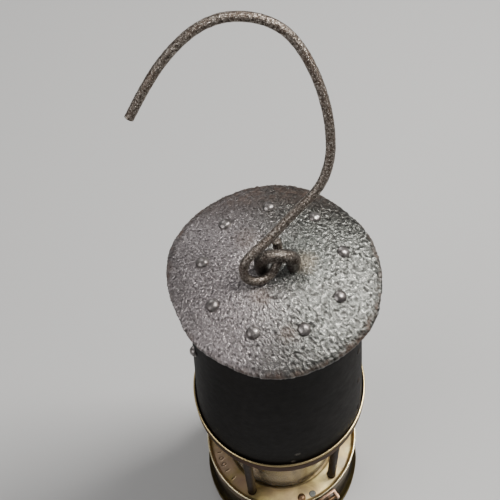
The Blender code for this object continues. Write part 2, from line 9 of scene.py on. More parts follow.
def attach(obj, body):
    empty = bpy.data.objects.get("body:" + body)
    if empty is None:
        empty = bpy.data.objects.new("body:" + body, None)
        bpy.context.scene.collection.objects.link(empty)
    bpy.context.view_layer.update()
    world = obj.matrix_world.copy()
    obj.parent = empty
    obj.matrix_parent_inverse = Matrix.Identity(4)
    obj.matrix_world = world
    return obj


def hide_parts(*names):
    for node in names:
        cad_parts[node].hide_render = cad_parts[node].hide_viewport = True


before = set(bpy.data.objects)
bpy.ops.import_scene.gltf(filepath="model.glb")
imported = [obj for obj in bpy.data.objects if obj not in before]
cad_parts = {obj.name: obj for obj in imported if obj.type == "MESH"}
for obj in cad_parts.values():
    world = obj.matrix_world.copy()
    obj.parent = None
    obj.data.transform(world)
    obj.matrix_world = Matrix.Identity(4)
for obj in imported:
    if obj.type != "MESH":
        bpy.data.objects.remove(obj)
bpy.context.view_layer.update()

MM = 0.001

# =====================================================================
#  Sizes, repeated from the CAD part (millimetres)
# =====================================================================
FOOT_R, FONT_R, FONT_TOP_Z, NECK_R = 46.0, 42.6, 39.6, 31.9
BASE_RING_R, BASE_RING_Z0, BASE_RIM_Z, BORE_R = 43.0, 40.0, 54.0, 32.2
GLASS_R, GLASS_WALL, GLASS_Z0, GLASS_Z1 = 30.0, 5.0, 48.7, 129.6
PILLAR_R, PILLAR_CIRCLE_R = 2.35, 37.0
PILLAR_DEGREES = (-119.0, -42.0, 28.75, 99.5, 170.25)
MID_RING_R, MID_RING_Z0, MID_LEDGE_Z, MID_RING_Z1 = 42.7, 129.7, 136.0, 138.7
BONNET_FOOT_R, BONNET_Z0, BONNET_Z1, BONNET_TAPER = 41.3, 136.3, 251.0, 0.066
BONNET_T, LAP_T, SEAM_DEG = 0.9, 0.6, -24.7
VENT_COUNT, VENT_R, VENT_Z = 16, 2.2, 244.2
CROWN_R, CROWN_APEX_Z, CROWN_RISE, CROWN_T, SEAT_DROP = 41.0, 264.3, 9.4, 1.6, 1.7
RIVET_COUNT, RIVET_CIRCLE_R, RIVET_FIRST_DEG = 9, 27.2, 11.7
STAPLE_R, STAPLE_HALF, STAPLE_X, STAPLE_Y = 2.6, 6.0, 1.5, -1.0
STAPLE_LEAN, STAPLE_HEIGHT = math.radians(9.3), 12.97
HOOK_R, HOOK_LEAN = 1.75, math.radians(33.5)
HOOK_AXIS = Vector((0.0, -3.1, 275.4))
HASP_DEG, HASP_PIN_R, HASP_PIN_Z = -58.0, 47.0, 51.6
MARK_DEGREES = (-165.2, -159.7, -153.9, -147.8, -139.1)
RIM_WAVES = ((161, 1.3), (-158, -1.3), (-122, -0.8), (-90, 0.5), (-32, 1.0),
             (44, -1.0), (138, 0.6), (82, 0.3))


def polar(radius, degrees, z):
    a = math.radians(degrees)
    return Vector((radius * math.cos(a), radius * math.sin(a), z))


# =====================================================================
#  Materials: node helpers
# =====================================================================
class Shader:
    """A small builder of procedural materials.  Lengths are in millimetres."""

    def __init__(self, name):
        self.m = bpy.data.materials.new(name)
        self.m.use_nodes = True
        self.t = self.m.node_tree
        self.t.nodes.clear()
        self.out = self.t.nodes.new("ShaderNodeOutputMaterial")
        self.b = self.t.nodes.new("ShaderNodeBsdfPrincipled")
        self.t.links.new(self.b.outputs[0], self.out.inputs["Surface"])
        tc = self.t.nodes.new("ShaderNodeTexCoord")
        sc = self.t.nodes.new("ShaderNodeVectorMath")
        sc.operation = "SCALE"
        sc.inputs["Scale"].default_value = 1000.0
        self.t.links.new(tc.outputs["Object"], sc.inputs[0])
        self.co = sc.outputs[0]
        self._xyz = None

    def _in(self, socket, value):
        if hasattr(value, "is_output") or isinstance(value, bpy.types.NodeSocket):
            self.t.links.new(value, socket)
        else:
            socket.default_value = value

    def xyz(self):
        if self._xyz is None:
            n = self.t.nodes.new("ShaderNodeSeparateXYZ")
            self.t.links.new(self.co, n.inputs[0])
            self._xyz = n.outputs
        return self._xyz

    def z(self):
        return self.xyz()[2]

    def radius(self):
        x, y = self.xyz()[0], self.xyz()[1]
        return self.math("SQRT", self.math("ADD", self.math("MULTIPLY", x, x),
                                           self.math("MULTIPLY", y, y)))

    def math(self, op, a, b=0.0, c=None, clamp=False):
        n = self.t.nodes.new("ShaderNodeMath")
        n.operation = op
        n.use_clamp = clamp
        self._in(n.inputs[0], a)
        self._in(n.inputs[1], b)
        if c is not None:
            self._in(n.inputs[2], c)
        return n.outputs[0]

    def step(self, value, low, high):
        """0 below low, 1 above high, smooth between."""
        n = self.t.nodes.new("ShaderNodeMapRange")
        n.interpolation_type = "SMOOTHSTEP"
        self._in(n.inputs["Value"], value)
        n.inputs["From Min"].default_value = low
        n.inputs["From Max"].default_value = high
        return n.outputs[0]

    def noise(self, size, detail=4.0, rough=0.55, warp=0.0, co=None, seed=0.0):
        """Noise with features about size mm across."""
        n = self.t.nodes.new("ShaderNodeTexNoise")
        n.noise_dimensions = "4D" if seed else "3D"
        if seed:
            n.inputs["W"].default_value = seed
        self.t.links.new(co or self.co, n.inputs["Vector"])
        n.inputs["Scale"].default_value = 1.0 / size
        n.inputs["Detail"].default_value = detail
        n.inputs["Roughness"].default_value = rough
        n.inputs["Distortion"].default_value = warp
        return n.outputs["Fac"]

    def cells(self, size, feature="DISTANCE_TO_EDGE", jitter=1.0, co=None):
        n = self.t.nodes.new("ShaderNodeTexVoronoi")
        n.feature = feature
        self.t.links.new(co or self.co, n.inputs["Vector"])
        n.inputs["Scale"].default_value = 1.0 / size
        n.inputs["Randomness"].default_value = jitter
        return n.outputs["Distance"]

    def stretched(self, sx, sy, sz):
        n = self.t.nodes.new("ShaderNodeVectorMath")
        n.operation = "MULTIPLY"
        self.t.links.new(self.co, n.inputs[0])
        n.inputs[1].default_value = (sx, sy, sz)
        return n.outputs[0]

    def attribute(self, name):
        n = self.t.nodes.new("ShaderNodeAttribute")
        n.attribute_name = name
        return n.outputs["Fac"]

    def near(self, point, radius, soft=0.5):
        """1 within radius mm of a point, falling to 0."""
        n = self.t.nodes.new("ShaderNodeVectorMath")
        n.operation = "DISTANCE"
        self.t.links.new(self.co, n.inputs[0])
        n.inputs[1].default_value = point
        wobble = self.math("MULTIPLY_ADD", self.noise(radius * 0.9, 3), radius * 0.9,
                           -0.45 * radius)
        d = self.math("ADD", n.outputs["Value"], wobble)
        return self.math("SUBTRACT", 1.0, self.step(d, radius * soft, radius))

    def ramp(self, fac, stops):
        n = self.t.nodes.new("ShaderNodeValToRGB")
        self.t.links.new(fac, n.inputs[0])
        el = n.color_ramp.elements
        while len(el) < len(stops):
            el.new(0.5)
        for e, (pos, col) in zip(el, stops):
            e.position = pos
            e.color = (*col, 1.0) if not isinstance(col, float) else (col, col, col, 1.0)
        return n.outputs[0]

    def mix(self, fac, a, b, mode="MIX"):
        n = self.t.nodes.new("ShaderNodeMix")
        n.data_type = "RGBA"
        n.blend_type = mode
        self._in(n.inputs[0], fac)
        for i, v in ((6, a), (7, b)):
            if isinstance(v, tuple):
                v = (*v, 1.0) if len(v) == 3 else v
            self._in(n.inputs[i], v)
        return n.outputs[2]

    def lerp(self, fac, a, b):
        n = self.t.nodes.new("ShaderNodeMix")
        n.data_type = "FLOAT"
        self._in(n.inputs[0], fac)
        self._in(n.inputs[2], a)
        self._in(n.inputs[3], b)
        return n.outputs[0]

    def bump(self, height, depth, normal=None, strength=1.0):
        n = self.t.nodes.new("ShaderNodeBump")
        n.inputs["Strength"].default_value = strength
        n.inputs["Distance"].default_value = depth * MM
        self.t.links.new(height, n.inputs["Height"])
        if normal is not None:
            self.t.links.new(normal, n.inputs["Normal"])
        return n.outputs[0]

    def set(self, **values):
        names = {"color": "Base Color", "rough": "Roughness", "metal": "Metallic",
                 "normal": "Normal", "ior": "IOR", "transmission": "Transmission Weight",
                 "specular": "Specular IOR Level", "coat": "Coat Weight",
                 "coat_rough": "Coat Roughness", "alpha": "Alpha",
                 "subsurface": "Subsurface Weight", "tint": "Specular Tint"}
        for key, value in values.items():
            if isinstance(value, tuple) and len(value) == 3:
                value = (*value, 1.0)
            self._in(self.b.inputs[names[key]], value)
        return self.m


def crown_iron():
    s = Shader("hammered_crown_iron")
    r = s.radius()
    x, y, z = s.xyz()
    h = s.attribute("wrinkle")
    fine = s.noise(0.85, 5, 0.62, 0.5)
    grain = s.noise(0.5, 3, 0.5, 0.2, seed=4.0)
    broad = s.noise(13, 4, 0.6)
    tone = s.math("MULTIPLY_ADD", h, 0.5, s.math("MULTIPLY", fine, 0.5))
    left = s.math("SUBTRACT", 1.0, s.step(x, -22.0, 14.0))
    # Painted light: the left half takes a lighter, purple-grey ramp.
    base = s.mix(left,
                 s.ramp(tone, [(0.28, (0.050, 0.051, 0.047)), (0.50, (0.104, 0.106, 0.098)),
                               (0.74, (0.33, 0.335, 0.31))]),
                 s.ramp(tone, [(0.28, (0.125, 0.110, 0.110)), (0.50, (0.235, 0.210, 0.210)),
                               (0.74, (0.50, 0.46, 0.455))]))
    base = s.mix(s.math("MULTIPLY", s.step(broad, 0.50, 0.72), 0.40), base,
                 (0.085, 0.079, 0.076))
    shade = s.math("MULTIPLY", s.near((9.0, 3.0, 263.0), 19.0, 0.25), 0.55)
    base = s.mix(shade, base, (0.060, 0.066, 0.060))
    # Painted shade: a patch at the front of the crown is mixed darker.
    low = s.math("MULTIPLY", s.near((1.0, -34.0, 257.5), 17.0, 0.25), 0.40)
    base = s.mix(low, base, (0.062, 0.058, 0.056))
    # Painted shade: the back of the crown is mixed darker.
    back_painted_shade = s.math("MULTIPLY", s.step(s.math("MULTIPLY_ADD", broad, 16.0, y), 18.0, 42.0), 0.62)
    base = s.mix(back_painted_shade, base, (0.058, 0.047, 0.042))
    wander = s.math("MULTIPLY_ADD", s.noise(5, 5, 0.65), 7.0, -3.5)
    edge = s.step(s.math("ADD", r, wander), 38.6, 41.4)
    back = s.math("MULTIPLY", s.step(s.math("ADD", y, wander), 24.0, 37.0),
                  s.step(s.noise(3.0, 5, 0.65, seed=2.0), 0.36, 0.62))
    patches = s.math("MULTIPLY", s.near((-5.0, -13.0, 262.5), 5.5, 0.2), 0.45)
    patches = s.math("MAXIMUM", patches, s.math("MULTIPLY", s.near((4.0, -27.0, 260.5), 5.0, 0.2), 0.4))
    patches = s.math("MAXIMUM", patches, s.math("MULTIPLY", s.near((-10.0, 12.0, 262.5), 7.0, 0.2), 0.35))
    rust = s.math("MAXIMUM", s.math("MAXIMUM", s.math(
        "MULTIPLY", edge, s.math("MULTIPLY", s.step(s.noise(4.0, 4, 0.6, seed=9.0), 0.38, 0.58), 0.75)),
                                    s.math("MULTIPLY", back, 0.65)), patches)
    base = s.mix(rust, base, s.ramp(s.noise(1.4, 6, 0.7), [
        (0.3, (0.030, 0.017, 0.012)), (0.55, (0.085, 0.050, 0.034)),
        (0.8, (0.16, 0.10, 0.065))]))
    tan = s.math("MULTIPLY", s.near((11.5, 0.5, 263.0), 6.5, 0.2), 0.5)
    base = s.mix(tan, base, (0.22, 0.185, 0.135))
    # Darker in the low points of the wrinkled skin.
    valley_darkening = s.math("MULTIPLY", s.math("SUBTRACT", 1.0, s.step(tone, 0.32, 0.44)), 0.45)
    base = s.mix(valley_darkening, base, (0.016, 0.013, 0.012))
    rough = s.lerp(tone, 0.46, 0.15)
    rough = s.math("ADD", rough, s.math("MULTIPLY", rust, 0.18), clamp=True)
    normal = s.bump(fine, 0.34)
    normal = s.bump(grain, 0.12, normal)
    return s.set(color=base, rough=rough, metal=s.lerp(rust, 0.90, 0.45), normal=normal)


def rivet_iron():
    s = Shader("rivet_iron")
    n = s.noise(1.9, 4, 0.55)
    top = s.step(n, 0.35, 0.7)
    base = s.mix(top, (0.13, 0.118, 0.114), (0.40, 0.375, 0.36))
    base = s.mix(s.math("MULTIPLY", s.step(s.noise(2.2, 5, 0.6, seed=3.0), 0.52, 0.72), 0.7),
                 base, (0.065, 0.040, 0.030))
    return s.set(color=base, rough=s.lerp(top, 0.40, 0.26), metal=0.9,
                 normal=s.bump(s.noise(0.8, 4, 0.6), 0.09))


def rusty_wire(name, tone=1.0, warm=1.0):
    s = Shader(name)
    pits = s.noise(0.75, 5, 0.65, 0.3)
    broad = s.noise(8, 4, 0.6)
    fleck = s.noise(0.42, 3, 0.6, seed=5.0)

    def c(r, g, b):
        return (tone * r, tone * g, tone * b)
    base = s.ramp(pits, [(0.34, c(0.020, 0.015, 0.012)), (0.50, c(0.090, 0.073, 0.060)),
                         (0.66, c(0.27, 0.240, 0.210))])
    base = s.mix(s.math("MULTIPLY", s.step(broad, 0.46, 0.66), 0.5 * warm), base,
                 c(0.075, 0.045, 0.030))
    bright = s.math("MULTIPLY", s.step(fleck, 0.57, 0.66), s.step(pits, 0.38, 0.55))
    base = s.mix(s.math("MULTIPLY", bright, 0.9), base, c(0.62, 0.59, 0.53))
    rough = s.ramp(pits, [(0.35, 0.55), (0.62, 0.26)])
    normal = s.bump(pits, 0.34)
    normal = s.bump(fleck, 0.12, normal)
    return s.set(color=base, rough=rough, metal=0.85, normal=normal)


def bonnet_black():
    s = Shader("bonnet_black_sheet")
    x, y, z = s.xyz()
    fine = s.noise(0.8, 4, 0.6)
    broad = s.noise(24, 4, 0.55)
    base = s.ramp(broad, [(0.3, (0.0030, 0.0026, 0.0026)), (0.7, (0.0062, 0.0052, 0.0050))])
    # Painted light: the right side of the bonnet is mixed to a lighter, speckled grey.
    right_side_painted_light = s.math("MULTIPLY", s.step(s.math("MULTIPLY_ADD", broad, 14.0, x), 26.0, 48.0), 0.6)
    base = s.mix(right_side_painted_light, base, s.mix(s.step(fine, 0.4, 0.65), (0.010, 0.009, 0.0085),
                                    (0.028, 0.025, 0.023)))
    base = s.mix(s.math("MULTIPLY", s.step(s.noise(0.6, 2, 0.5, seed=2.0), 0.71, 0.77), 0.6),
                 base, (0.060, 0.055, 0.048))
    foot = s.math("SUBTRACT", 1.0, s.step(
        s.math("MULTIPLY_ADD", s.noise(3.5, 5, 0.65), 5.0, z), 138.6, 142.0))
    base = s.mix(s.math("MULTIPLY", foot, 0.6), base, (0.030, 0.017, 0.011))
    chips = s.near((7.3, -40.2, 148.7), 2.0)
    for p, r in (((5.2, -41.1, 139.9), 1.6), ((-23.5, -33.7, 156.0), 0.7),
                 ((-30.2, -26.9, 150.0), 0.6), ((-8.0, -39.3, 163.0), 0.55),
                 ((21.0, -34.6, 170.0), 0.5), ((36.5, -17.6, 152.0), 0.8),
                 ((-38.0, 6.0, 171.0), 1.1), ((10.0, 37.8, 160.0), 1.4),
                 ((-20.0, 33.5, 190.0), 0.9)):
        chips = s.math("MAXIMUM", chips, s.near(p, r))
    base = s.mix(s.math("MULTIPLY", chips, 0.85), base, s.ramp(
        s.noise(0.7, 3), [(0.4, (0.045, 0.040, 0.036)), (0.7, (0.17, 0.155, 0.13))]))
    rough = s.lerp(s.noise(3.5, 5, 0.6), 0.50, 0.68)
    normal = s.bump(fine, 0.07)
    normal = s.bump(chips, -0.12, normal)
    return s.set(color=base, rough=rough, metal=0.0, normal=normal, specular=0.045)


def brass(name, light, mid, dark, stain, rough=(0.24, 0.46), bright=(), dull=(),
          grain=0.05, stain_amount=0.5, size=9.0, metal=1.0, tint=(0.55, 0.43, 0.25)):
    """Old brass.  bright and dull are masks given as functions of the shader."""
    s = Shader(name)
    broad = s.noise(size, 5, 0.62, 0.6)
    soft = s.noise(size * 2.4, 3, 0.5, 0.3, seed=7.0)
    fine = s.noise(0.9, 6, 0.65)
    turning = s.noise(1.0, 4, 0.6, co=s.stretched(0.06, 0.06, 3.2))
    base = s.ramp(broad, [(0.28, dark), (0.5, mid), (0.74, light)])
    base = s.mix(s.math("MULTIPLY", s.step(soft, 0.40, 0.66), stain_amount), base, stain)
    base = s.mix(s.math("MULTIPLY", s.step(fine, 0.58, 0.75), 0.30), base, dark)
    r = s.lerp(s.math("MULTIPLY_ADD", broad, 0.6, s.math("MULTIPLY", fine, 0.4)),
               rough[0], rough[1])
    m_all = None
    for mask, colour, to_rough in dull:
        m = mask(s)
        base = s.mix(m, base, colour)
        r = s.lerp(m, r, to_rough)
        if max(colour) < 0.14:
            m_all = m if m_all is None else s.math("MAXIMUM", m_all, m)
    shine = metal if m_all is None else s.lerp(m_all, metal, 0.30)
    for mask, colour, to_rough in bright:
        m = mask(s)
        base = s.mix(m, base, colour)
        r = s.lerp(m, r, to_rough)
        shine = s.lerp(m, shine, 1.0)
    normal = s.bump(fine, grain)
    normal = s.bump(turning, grain * 0.5, normal)
    return s.set(color=base, rough=r, metal=shine, normal=normal, specular=0.25,
                 tint=tint)


def band(low, high, soft=0.25, amount=1.0, wobble=0.5, size=3.0):
    """A mask on height between low and high mm."""
    def mask(s):
        z = s.math("ADD", s.z(), s.math("MULTIPLY_ADD", s.noise(size, 4, 0.6, seed=11.0),
                                        wobble, -wobble / 2))
        m = s.math("MULTIPLY", s.step(z, low - soft, low + soft),
                   s.math("SUBTRACT", 1.0, s.step(z, high - soft, high + soft)))
        return s.math("MULTIPLY", m, amount)
    return mask


def collar(low, high, soft=0.25, amount=1.0, wobble=0.5, size=3.0):
    """A mask on distance from the lamp's axis between low and high mm."""
    def mask(s):
        r = s.math("ADD", s.radius(), s.math("MULTIPLY_ADD", s.noise(size, 4, 0.6, seed=13.0),
                                             wobble, -wobble / 2))
        m = s.math("MULTIPLY", s.step(r, low - soft, low + soft),
                   s.math("SUBTRACT", 1.0, s.step(r, high - soft, high + soft)))
        return s.math("MULTIPLY", m, amount)
    return mask


def both(a, b):
    return lambda s: s.math("MULTIPLY", a(s), b(s))


def patch(point, radius, amount=1.0):
    return lambda s: s.math("MULTIPLY", s.near(point, radius, 0.2), amount)


def simple_metal(name, dark, light, rough, metal=0.9, size=2.0, depth=0.12, specular=0.5,
                 tint=(1.0, 1.0, 1.0)):
    s = Shader(name)
    n = s.noise(size, 6, 0.65, 0.3)
    base = s.ramp(n, [(0.3, dark), (0.7, light)])
    return s.set(color=base, rough=s.lerp(n, rough[0], rough[1]), metal=metal,
                 normal=s.bump(s.noise(size * 0.45, 5, 0.6), depth), specular=specular,
                 tint=tint)


def lamp_glass():
    s = Shader("lamp_glass")
    smear = s.noise(16, 4, 0.5, 0.8, co=s.stretched(1.0, 1.0, 0.35))
    haze = s.ramp(smear, [(0.35, (0.58, 0.50, 0.37)), (0.7, (0.72, 0.64, 0.50))])
    rough = s.lerp(smear, 0.08, 0.22)
    s.set(color=haze, rough=rough, metal=0.0, ior=1.5,
          normal=s.bump(s.noise(14, 2, 0.4), 0.25))
    tr = s.ramp(smear, [(0.3, 0.84), (0.72, 0.64)])
    s.set(transmission=tr)
    return s.m


def gauze_mesh_metal():
    """Fine woven wire: crossed ridges, 28 to the inch."""
    s = Shader("woven_gauze")
    x, y, z = s.xyz()
    a = s.math("MULTIPLY", s.math("ARCTAN2", y, x), 18.0)
    warp = s.math("ABSOLUTE", s.math("SINE", s.math("MULTIPLY", a, 6.2)))
    weft = s.math("ABSOLUTE", s.math("SINE", s.math("MULTIPLY", z, 3.46)))
    cross = s.math("MAXIMUM", warp, weft)
    base = s.ramp(cross, [(0.45, (0.004, 0.004, 0.004)), (0.85, (0.13, 0.115, 0.10))])
    return s.set(color=base, rough=0.5, metal=0.8, normal=s.bump(cross, 0.2))


def soft_stuff(name, dark, light, size, depth, rough=0.85):
    s = Shader(name)
    n = s.noise(size, 6, 0.7)
    strands = s.noise(size * 0.5, 4, 0.6, co=s.stretched(1.0, 1.0, 0.25))
    base = s.ramp(s.math("MULTIPLY_ADD", n, 0.5, s.math("MULTIPLY", strands, 0.5)),
                  [(0.3, dark), (0.7, light)])
    return s.set(color=base, rough=rough, metal=0.0, normal=s.bump(strands, depth))


M_CROWN = crown_iron()
M_RIVET = rivet_iron()
M_HOOK = rusty_wire("hook_rusty_steel", 1.40, 0.7)
M_STAPLE = rusty_wire("staple_rusty_steel", 0.85, 1.4)
M_BONNET = bonnet_black()
M_MID = brass("middle_ring_brass", (0.070, 0.046, 0.019), (0.042, 0.026, 0.011),
              (0.018, 0.011, 0.006), (0.040, 0.018, 0.012), rough=(0.26, 0.46), metal=0.7, tint=(0.40, 0.29, 0.14),
              bright=((band(138.15, 140.0, 0.18, 0.95, 0.2), (0.78, 0.62, 0.33), 0.24),
                      (both(band(129.0, 130.2, 0.2, 0.5, 0.4), collar(41.9, 44, 0.2)),
                       (0.34, 0.25, 0.11), 0.3)),
              dull=((both(band(135.5, 138.2, 0.2), collar(30, 41.9, 0.1)),
                     (0.035, 0.018, 0.010), 0.7),), stain_amount=0.5, size=7)
M_LOWER = brass("lower_ring_brass", (0.93, 0.78, 0.34), (0.66, 0.52, 0.23),
                (0.36, 0.265, 0.125), (0.62, 0.44, 0.30), rough=(0.30, 0.50),
                dull=((both(band(40, 52.4, 0.4), collar(42.2, 44, 0.2)),
                       (0.050, 0.032, 0.012), 0.36),
                      (patch((25.0, -26.5, 50.6), 7.0, 0.45), (0.30, 0.27, 0.20), 0.36),
                      (patch((34.0, -19.0, 50.6), 5.0, 0.6), (0.34, 0.32, 0.26), 0.36),
                      (patch((-22.5, -28.0, 50.6), 9.0, 0.6), (0.72, 0.50, 0.42), 0.40),
                      (patch((-34.5, -15.0, 50.6), 12.0, 0.75), (0.66, 0.47, 0.37), 0.42),
                      (patch((-33.5, 15.0, 50.6), 10.0, 0.5), (0.30, 0.26, 0.26), 0.38),
                      (patch((12.0, 35.0, 50.6), 9.0, 0.5), (0.34, 0.25, 0.20), 0.38),
                      (patch((10.0, -33.5, 50.6), 7.0, 0.45), (0.26, 0.20, 0.12), 0.42),
                      # Painted shade: the bore round the glass is mixed dark.
                      (both(collar(29, 32.0, 0.6, 0.85, 1.2), band(44, 51, 0.3)),
                       (0.060, 0.042, 0.022), 0.6),
                      (both(collar(40.4, 41.5, 0.25, 0.6, 0.5), band(50, 52, 0.4)),
                       (0.13, 0.092, 0.048), 0.5),
                      (lambda s: s.attribute("mark"), (0.045, 0.030, 0.018), 0.6)),
                bright=((both(collar(41.7, 43.4, 0.15, 0.95, 0.1), band(53.2, 56, 0.25)),
                         (0.90, 0.80, 0.52), 0.2),
                        (patch((29.5, -23.5, 50.6), 3.6, 0.7), (0.98, 0.88, 0.50), 0.30),
                        (patch((38.6, -10.5, 50.6), 3.6, 0.6), (0.98, 0.88, 0.50), 0.30)),
                stain_amount=0.5, size=11)
M_FONT = brass("font_brass", (0.062, 0.050, 0.018), (0.030, 0.023, 0.008),
               (0.011, 0.008, 0.003), (0.022, 0.013, 0.006), rough=(0.24, 0.44), metal=0.7, tint=(0.34, 0.27, 0.12),
               # Painted light: the outer face of the foot is mixed to a lighter olive.
               bright=((both(band(3.4, 9.2, 0.6, 0.55, 1.2), collar(45.2, 47, 0.3)),
                        (0.30, 0.26, 0.11), 0.26),),
               stain_amount=0.5, size=12)
M_BRASS_IN = brass("inner_brass", (0.50, 0.40, 0.20), (0.36, 0.27, 0.12),
                   (0.16, 0.11, 0.05), (0.22, 0.14, 0.08), rough=(0.26, 0.5), size=5)
M_BURNER = brass("burner_brass", (0.42, 0.31, 0.15), (0.24, 0.16, 0.08),
                 (0.06, 0.04, 0.025), (0.12, 0.07, 0.045), rough=(0.3, 0.55), size=4,
                 dull=((band(60.0, 70.0, 2.5, 0.85, 3.0), (0.018, 0.015, 0.013), 0.7),))
M_PILLAR = simple_metal("pillar_browned_iron", (0.005, 0.003, 0.002), (0.020, 0.012, 0.007),
                        (0.34, 0.55), 0.25, 3.0, 0.10, 0.08, (0.50, 0.38, 0.25))
M_COPPER = simple_metal("lock_copper", (0.125, 0.074, 0.046), (0.26, 0.165, 0.110),
                        (0.28, 0.45), 0.95, 3.5, 0.08)
M_LEAD = simple_metal("lead_seal", (0.062, 0.066, 0.060), (0.15, 0.155, 0.142),
                      (0.45, 0.65), 0.85, 1.2, 0.15)
M_BROWN = simple_metal("browned_fastener", (0.075, 0.042, 0.022), (0.22, 0.135, 0.075),
                       (0.30, 0.5), 0.9, 1.2, 0.12)
M_GLASS = lamp_glass()
M_GAUZE = gauze_mesh_metal()
M_LEATHER = soft_stuff("oiled_leather", (0.05, 0.028, 0.016), (0.13, 0.075, 0.042), 0.9, 0.15, 0.7)
M_FIBRE = soft_stuff("fibre_washer", (0.26, 0.23, 0.19), (0.42, 0.38, 0.32), 1.2, 0.12)
M_COTTON = soft_stuff("cotton", (0.50, 0.44, 0.34), (0.80, 0.75, 0.64), 0.8, 0.35, 0.95)
M_TOP = simple_metal("sooted_iron", (0.012, 0.011, 0.010), (0.045, 0.036, 0.030),
                     (0.5, 0.72), 0.5, 3.0, 0.15)


def wick_material():
    s = Shader("wick_cotton")
    n = s.noise(0.7, 5, 0.7, co=s.stretched(1.0, 1.0, 0.3))
    char = s.step(s.math("MULTIPLY_ADD", s.noise(1.5, 4), 3.0, s.z()), 65.8, 68.6)
    base = s.mix(char, s.ramp(n, [(0.3, (0.42, 0.36, 0.27)), (0.7, (0.78, 0.72, 0.60))]),
                 (0.018, 0.015, 0.013))
    return s.set(color=base, rough=0.95, metal=0.0, normal=s.bump(n, 0.4))


M_WICK = wick_material()


# =====================================================================
#  Geometry helpers
# =====================================================================
def piece(name, verts, faces, material, body, nodes=(), smooth=True,
          angle=None, attrs=None):
    """Adds a mesh (verts in mm) that rides on a body and stands for CAD nodes."""
    me = bpy.data.meshes.new(name)
    me.from_pydata([tuple(c * MM for c in v) for v in verts], [], faces)
    me.validate()
    me.update()
    if attrs:
        for key, values in attrs.items():
            a = me.attributes.new(key, "FLOAT", "POINT")
            a.data.foreach_set("value", values)
    ob = bpy.data.objects.new(name, me)
    bpy.context.scene.collection.objects.link(ob)
    me.materials.append(material)
    if smooth:
        me.shade_smooth()
        if angle:
            me.set_sharp_from_angle(angle=math.radians(angle))
    if body:
        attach(ob, body)
    if nodes:
        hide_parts(*nodes)
    return ob


def fillet(points, radius, arc=4, closed=True, edge=0.3):
    """Rounds the corners of a profile.  A point may carry its own radius.
    Straight runs get a point near each end, so that their shading stays flat."""
    n = len(points)
    out = []
    for i, p in enumerate(points):
        r = p[2] if len(p) > 2 else radius
        b = Vector((p[0], p[1]))
        if (not closed and i in (0, n - 1)) or r <= 0:
            out.append((b, b))
            continue
        a = Vector(points[i - 1][:2])
        c = Vector(points[(i + 1) % n][:2])
        u, w = (a - b), (c - b)
        la, lc = u.length, w.length
        u.normalize()
        w.normalize()
        ang = u.angle(w)
        if ang > math.radians(174):
            out.append((b, b))
            continue
        cut = min(r / math.tan(ang / 2), la * 0.46, lc * 0.46)
        rr = cut * math.tan(ang / 2)
        mid = (u + w).normalized()
        centre = b + mid * (rr / math.sin(ang / 2))
        s0, s1 = b + u * cut, b + w * cut
        pts = []
        v0, v1 = s0 - centre, s1 - centre
        total = v0.angle(v1)
        cross = v0.x * v1.y - v0.y * v1.x
        for k in range(arc + 1):
            t = total * k / arc * (1 if cross > 0 else -1)
            pts.append(centre + Vector((v0.x * math.cos(t) - v0.y * math.sin(t),
                                        v0.x * math.sin(t) + v0.y * math.cos(t))))
        out.append(tuple(pts))
    flat = []
    for i, pts in enumerate(out):
        if len(pts) == 2 and (pts[0] - pts[1]).length < 1e-9:
            pts = (pts[0],)
        flat.extend(pts)
        nxt = out[(i + 1) % n] if (closed or i < n - 1) else None
        if nxt is not None:
            a, b = pts[-1], nxt[0]
            d = (b - a).length
            if d > 4 * edge:
                flat.append(a + (b - a) * (edge / d))
                flat.append(b - (b - a) * (edge / d))
    return [(p.x, p.y) for p in flat]


def denser(profile, step, closed=True, where=None):
    """Adds points along long straight runs of a profile."""
    out = []
    n = len(profile)
    for i, p in enumerate(profile):
        out.append(p)
        if i == n - 1 and not closed:
            break
        q = profile[(i + 1) % n]
        if where and not (where(*p) and where(*q)):
            continue
        d = math.hypot(q[0] - p[0], q[1] - p[1])
        k = int(d // step)
        for j in range(1, k + 1):
            t = j / (k + 1)
            out.append((p[0] + (q[0] - p[0]) * t, p[1] + (q[1] - p[1]) * t))
    return out


def lathe(profile, steps, centre=(0, 0), move=None, start=0.0):
    """Revolves a profile.  Ends on the axis become poles, otherwise it closes."""
    closed = profile[0][0] > 1e-6 or profile[-1][0] > 1e-6
    verts, rings = [], []
    for r, z in profile:
        if r <= 1e-6:
            rings.append([len(verts)])
            verts.append((centre[0], centre[1], z))
            continue
        ring = []
        for k in range(steps):
            a = start + math.tau * k / steps
            ring.append(len(verts))
            if move:
                verts.append(move(r, a, z))
            else:
                verts.append((centre[0] + r * math.cos(a), centre[1] + r * math.sin(a), z))
        rings.append(ring)
    faces = []
    pairs = list(zip(rings, rings[1:]))
    if closed:
        pairs.append((rings[-1], rings[0]))
    for a, b in pairs:
        if len(a) == 1 and len(b) == 1:
            continue
        for k in range(steps):
            j = (k + 1) % steps
            if len(a) == 1:
                faces.append((a[0], b[k], b[j]))
            elif len(b) == 1:
                faces.append((a[k], b[0], a[j]))
            else:
                faces.append((a[k], b[k], b[j], a[j]))
    return verts, faces


def turned(name, points, steps, material, body, nodes, radius=0.3, arc=3,
           centre=(0, 0), closed=True, move=None, dense=None):
    prof = fillet(points, radius, arc, closed)
    if dense:
        prof = denser(prof, dense, closed)
    v, f = lathe(prof, steps, centre, move)
    return piece(name, v, f, material, body, nodes)


def cylinder_mesh(start, end, radius, steps):
    start, end = Vector(start), Vector(end)
    axis = (end - start).normalized()
    side = axis.orthogonal().normalized()
    other = axis.cross(side)
    v, f = [], []
    for p in (start, end):
        for k in range(steps):
            a = math.tau * k / steps
            v.append(p + side * (radius * math.cos(a)) + other * (radius * math.sin(a)))
    for k in range(steps):
        j = (k + 1) % steps
        f.append((k, j, steps + j, steps + k))
    f.append(tuple(range(steps))[::-1])
    f.append(tuple(range(steps, 2 * steps)))
    return v, f


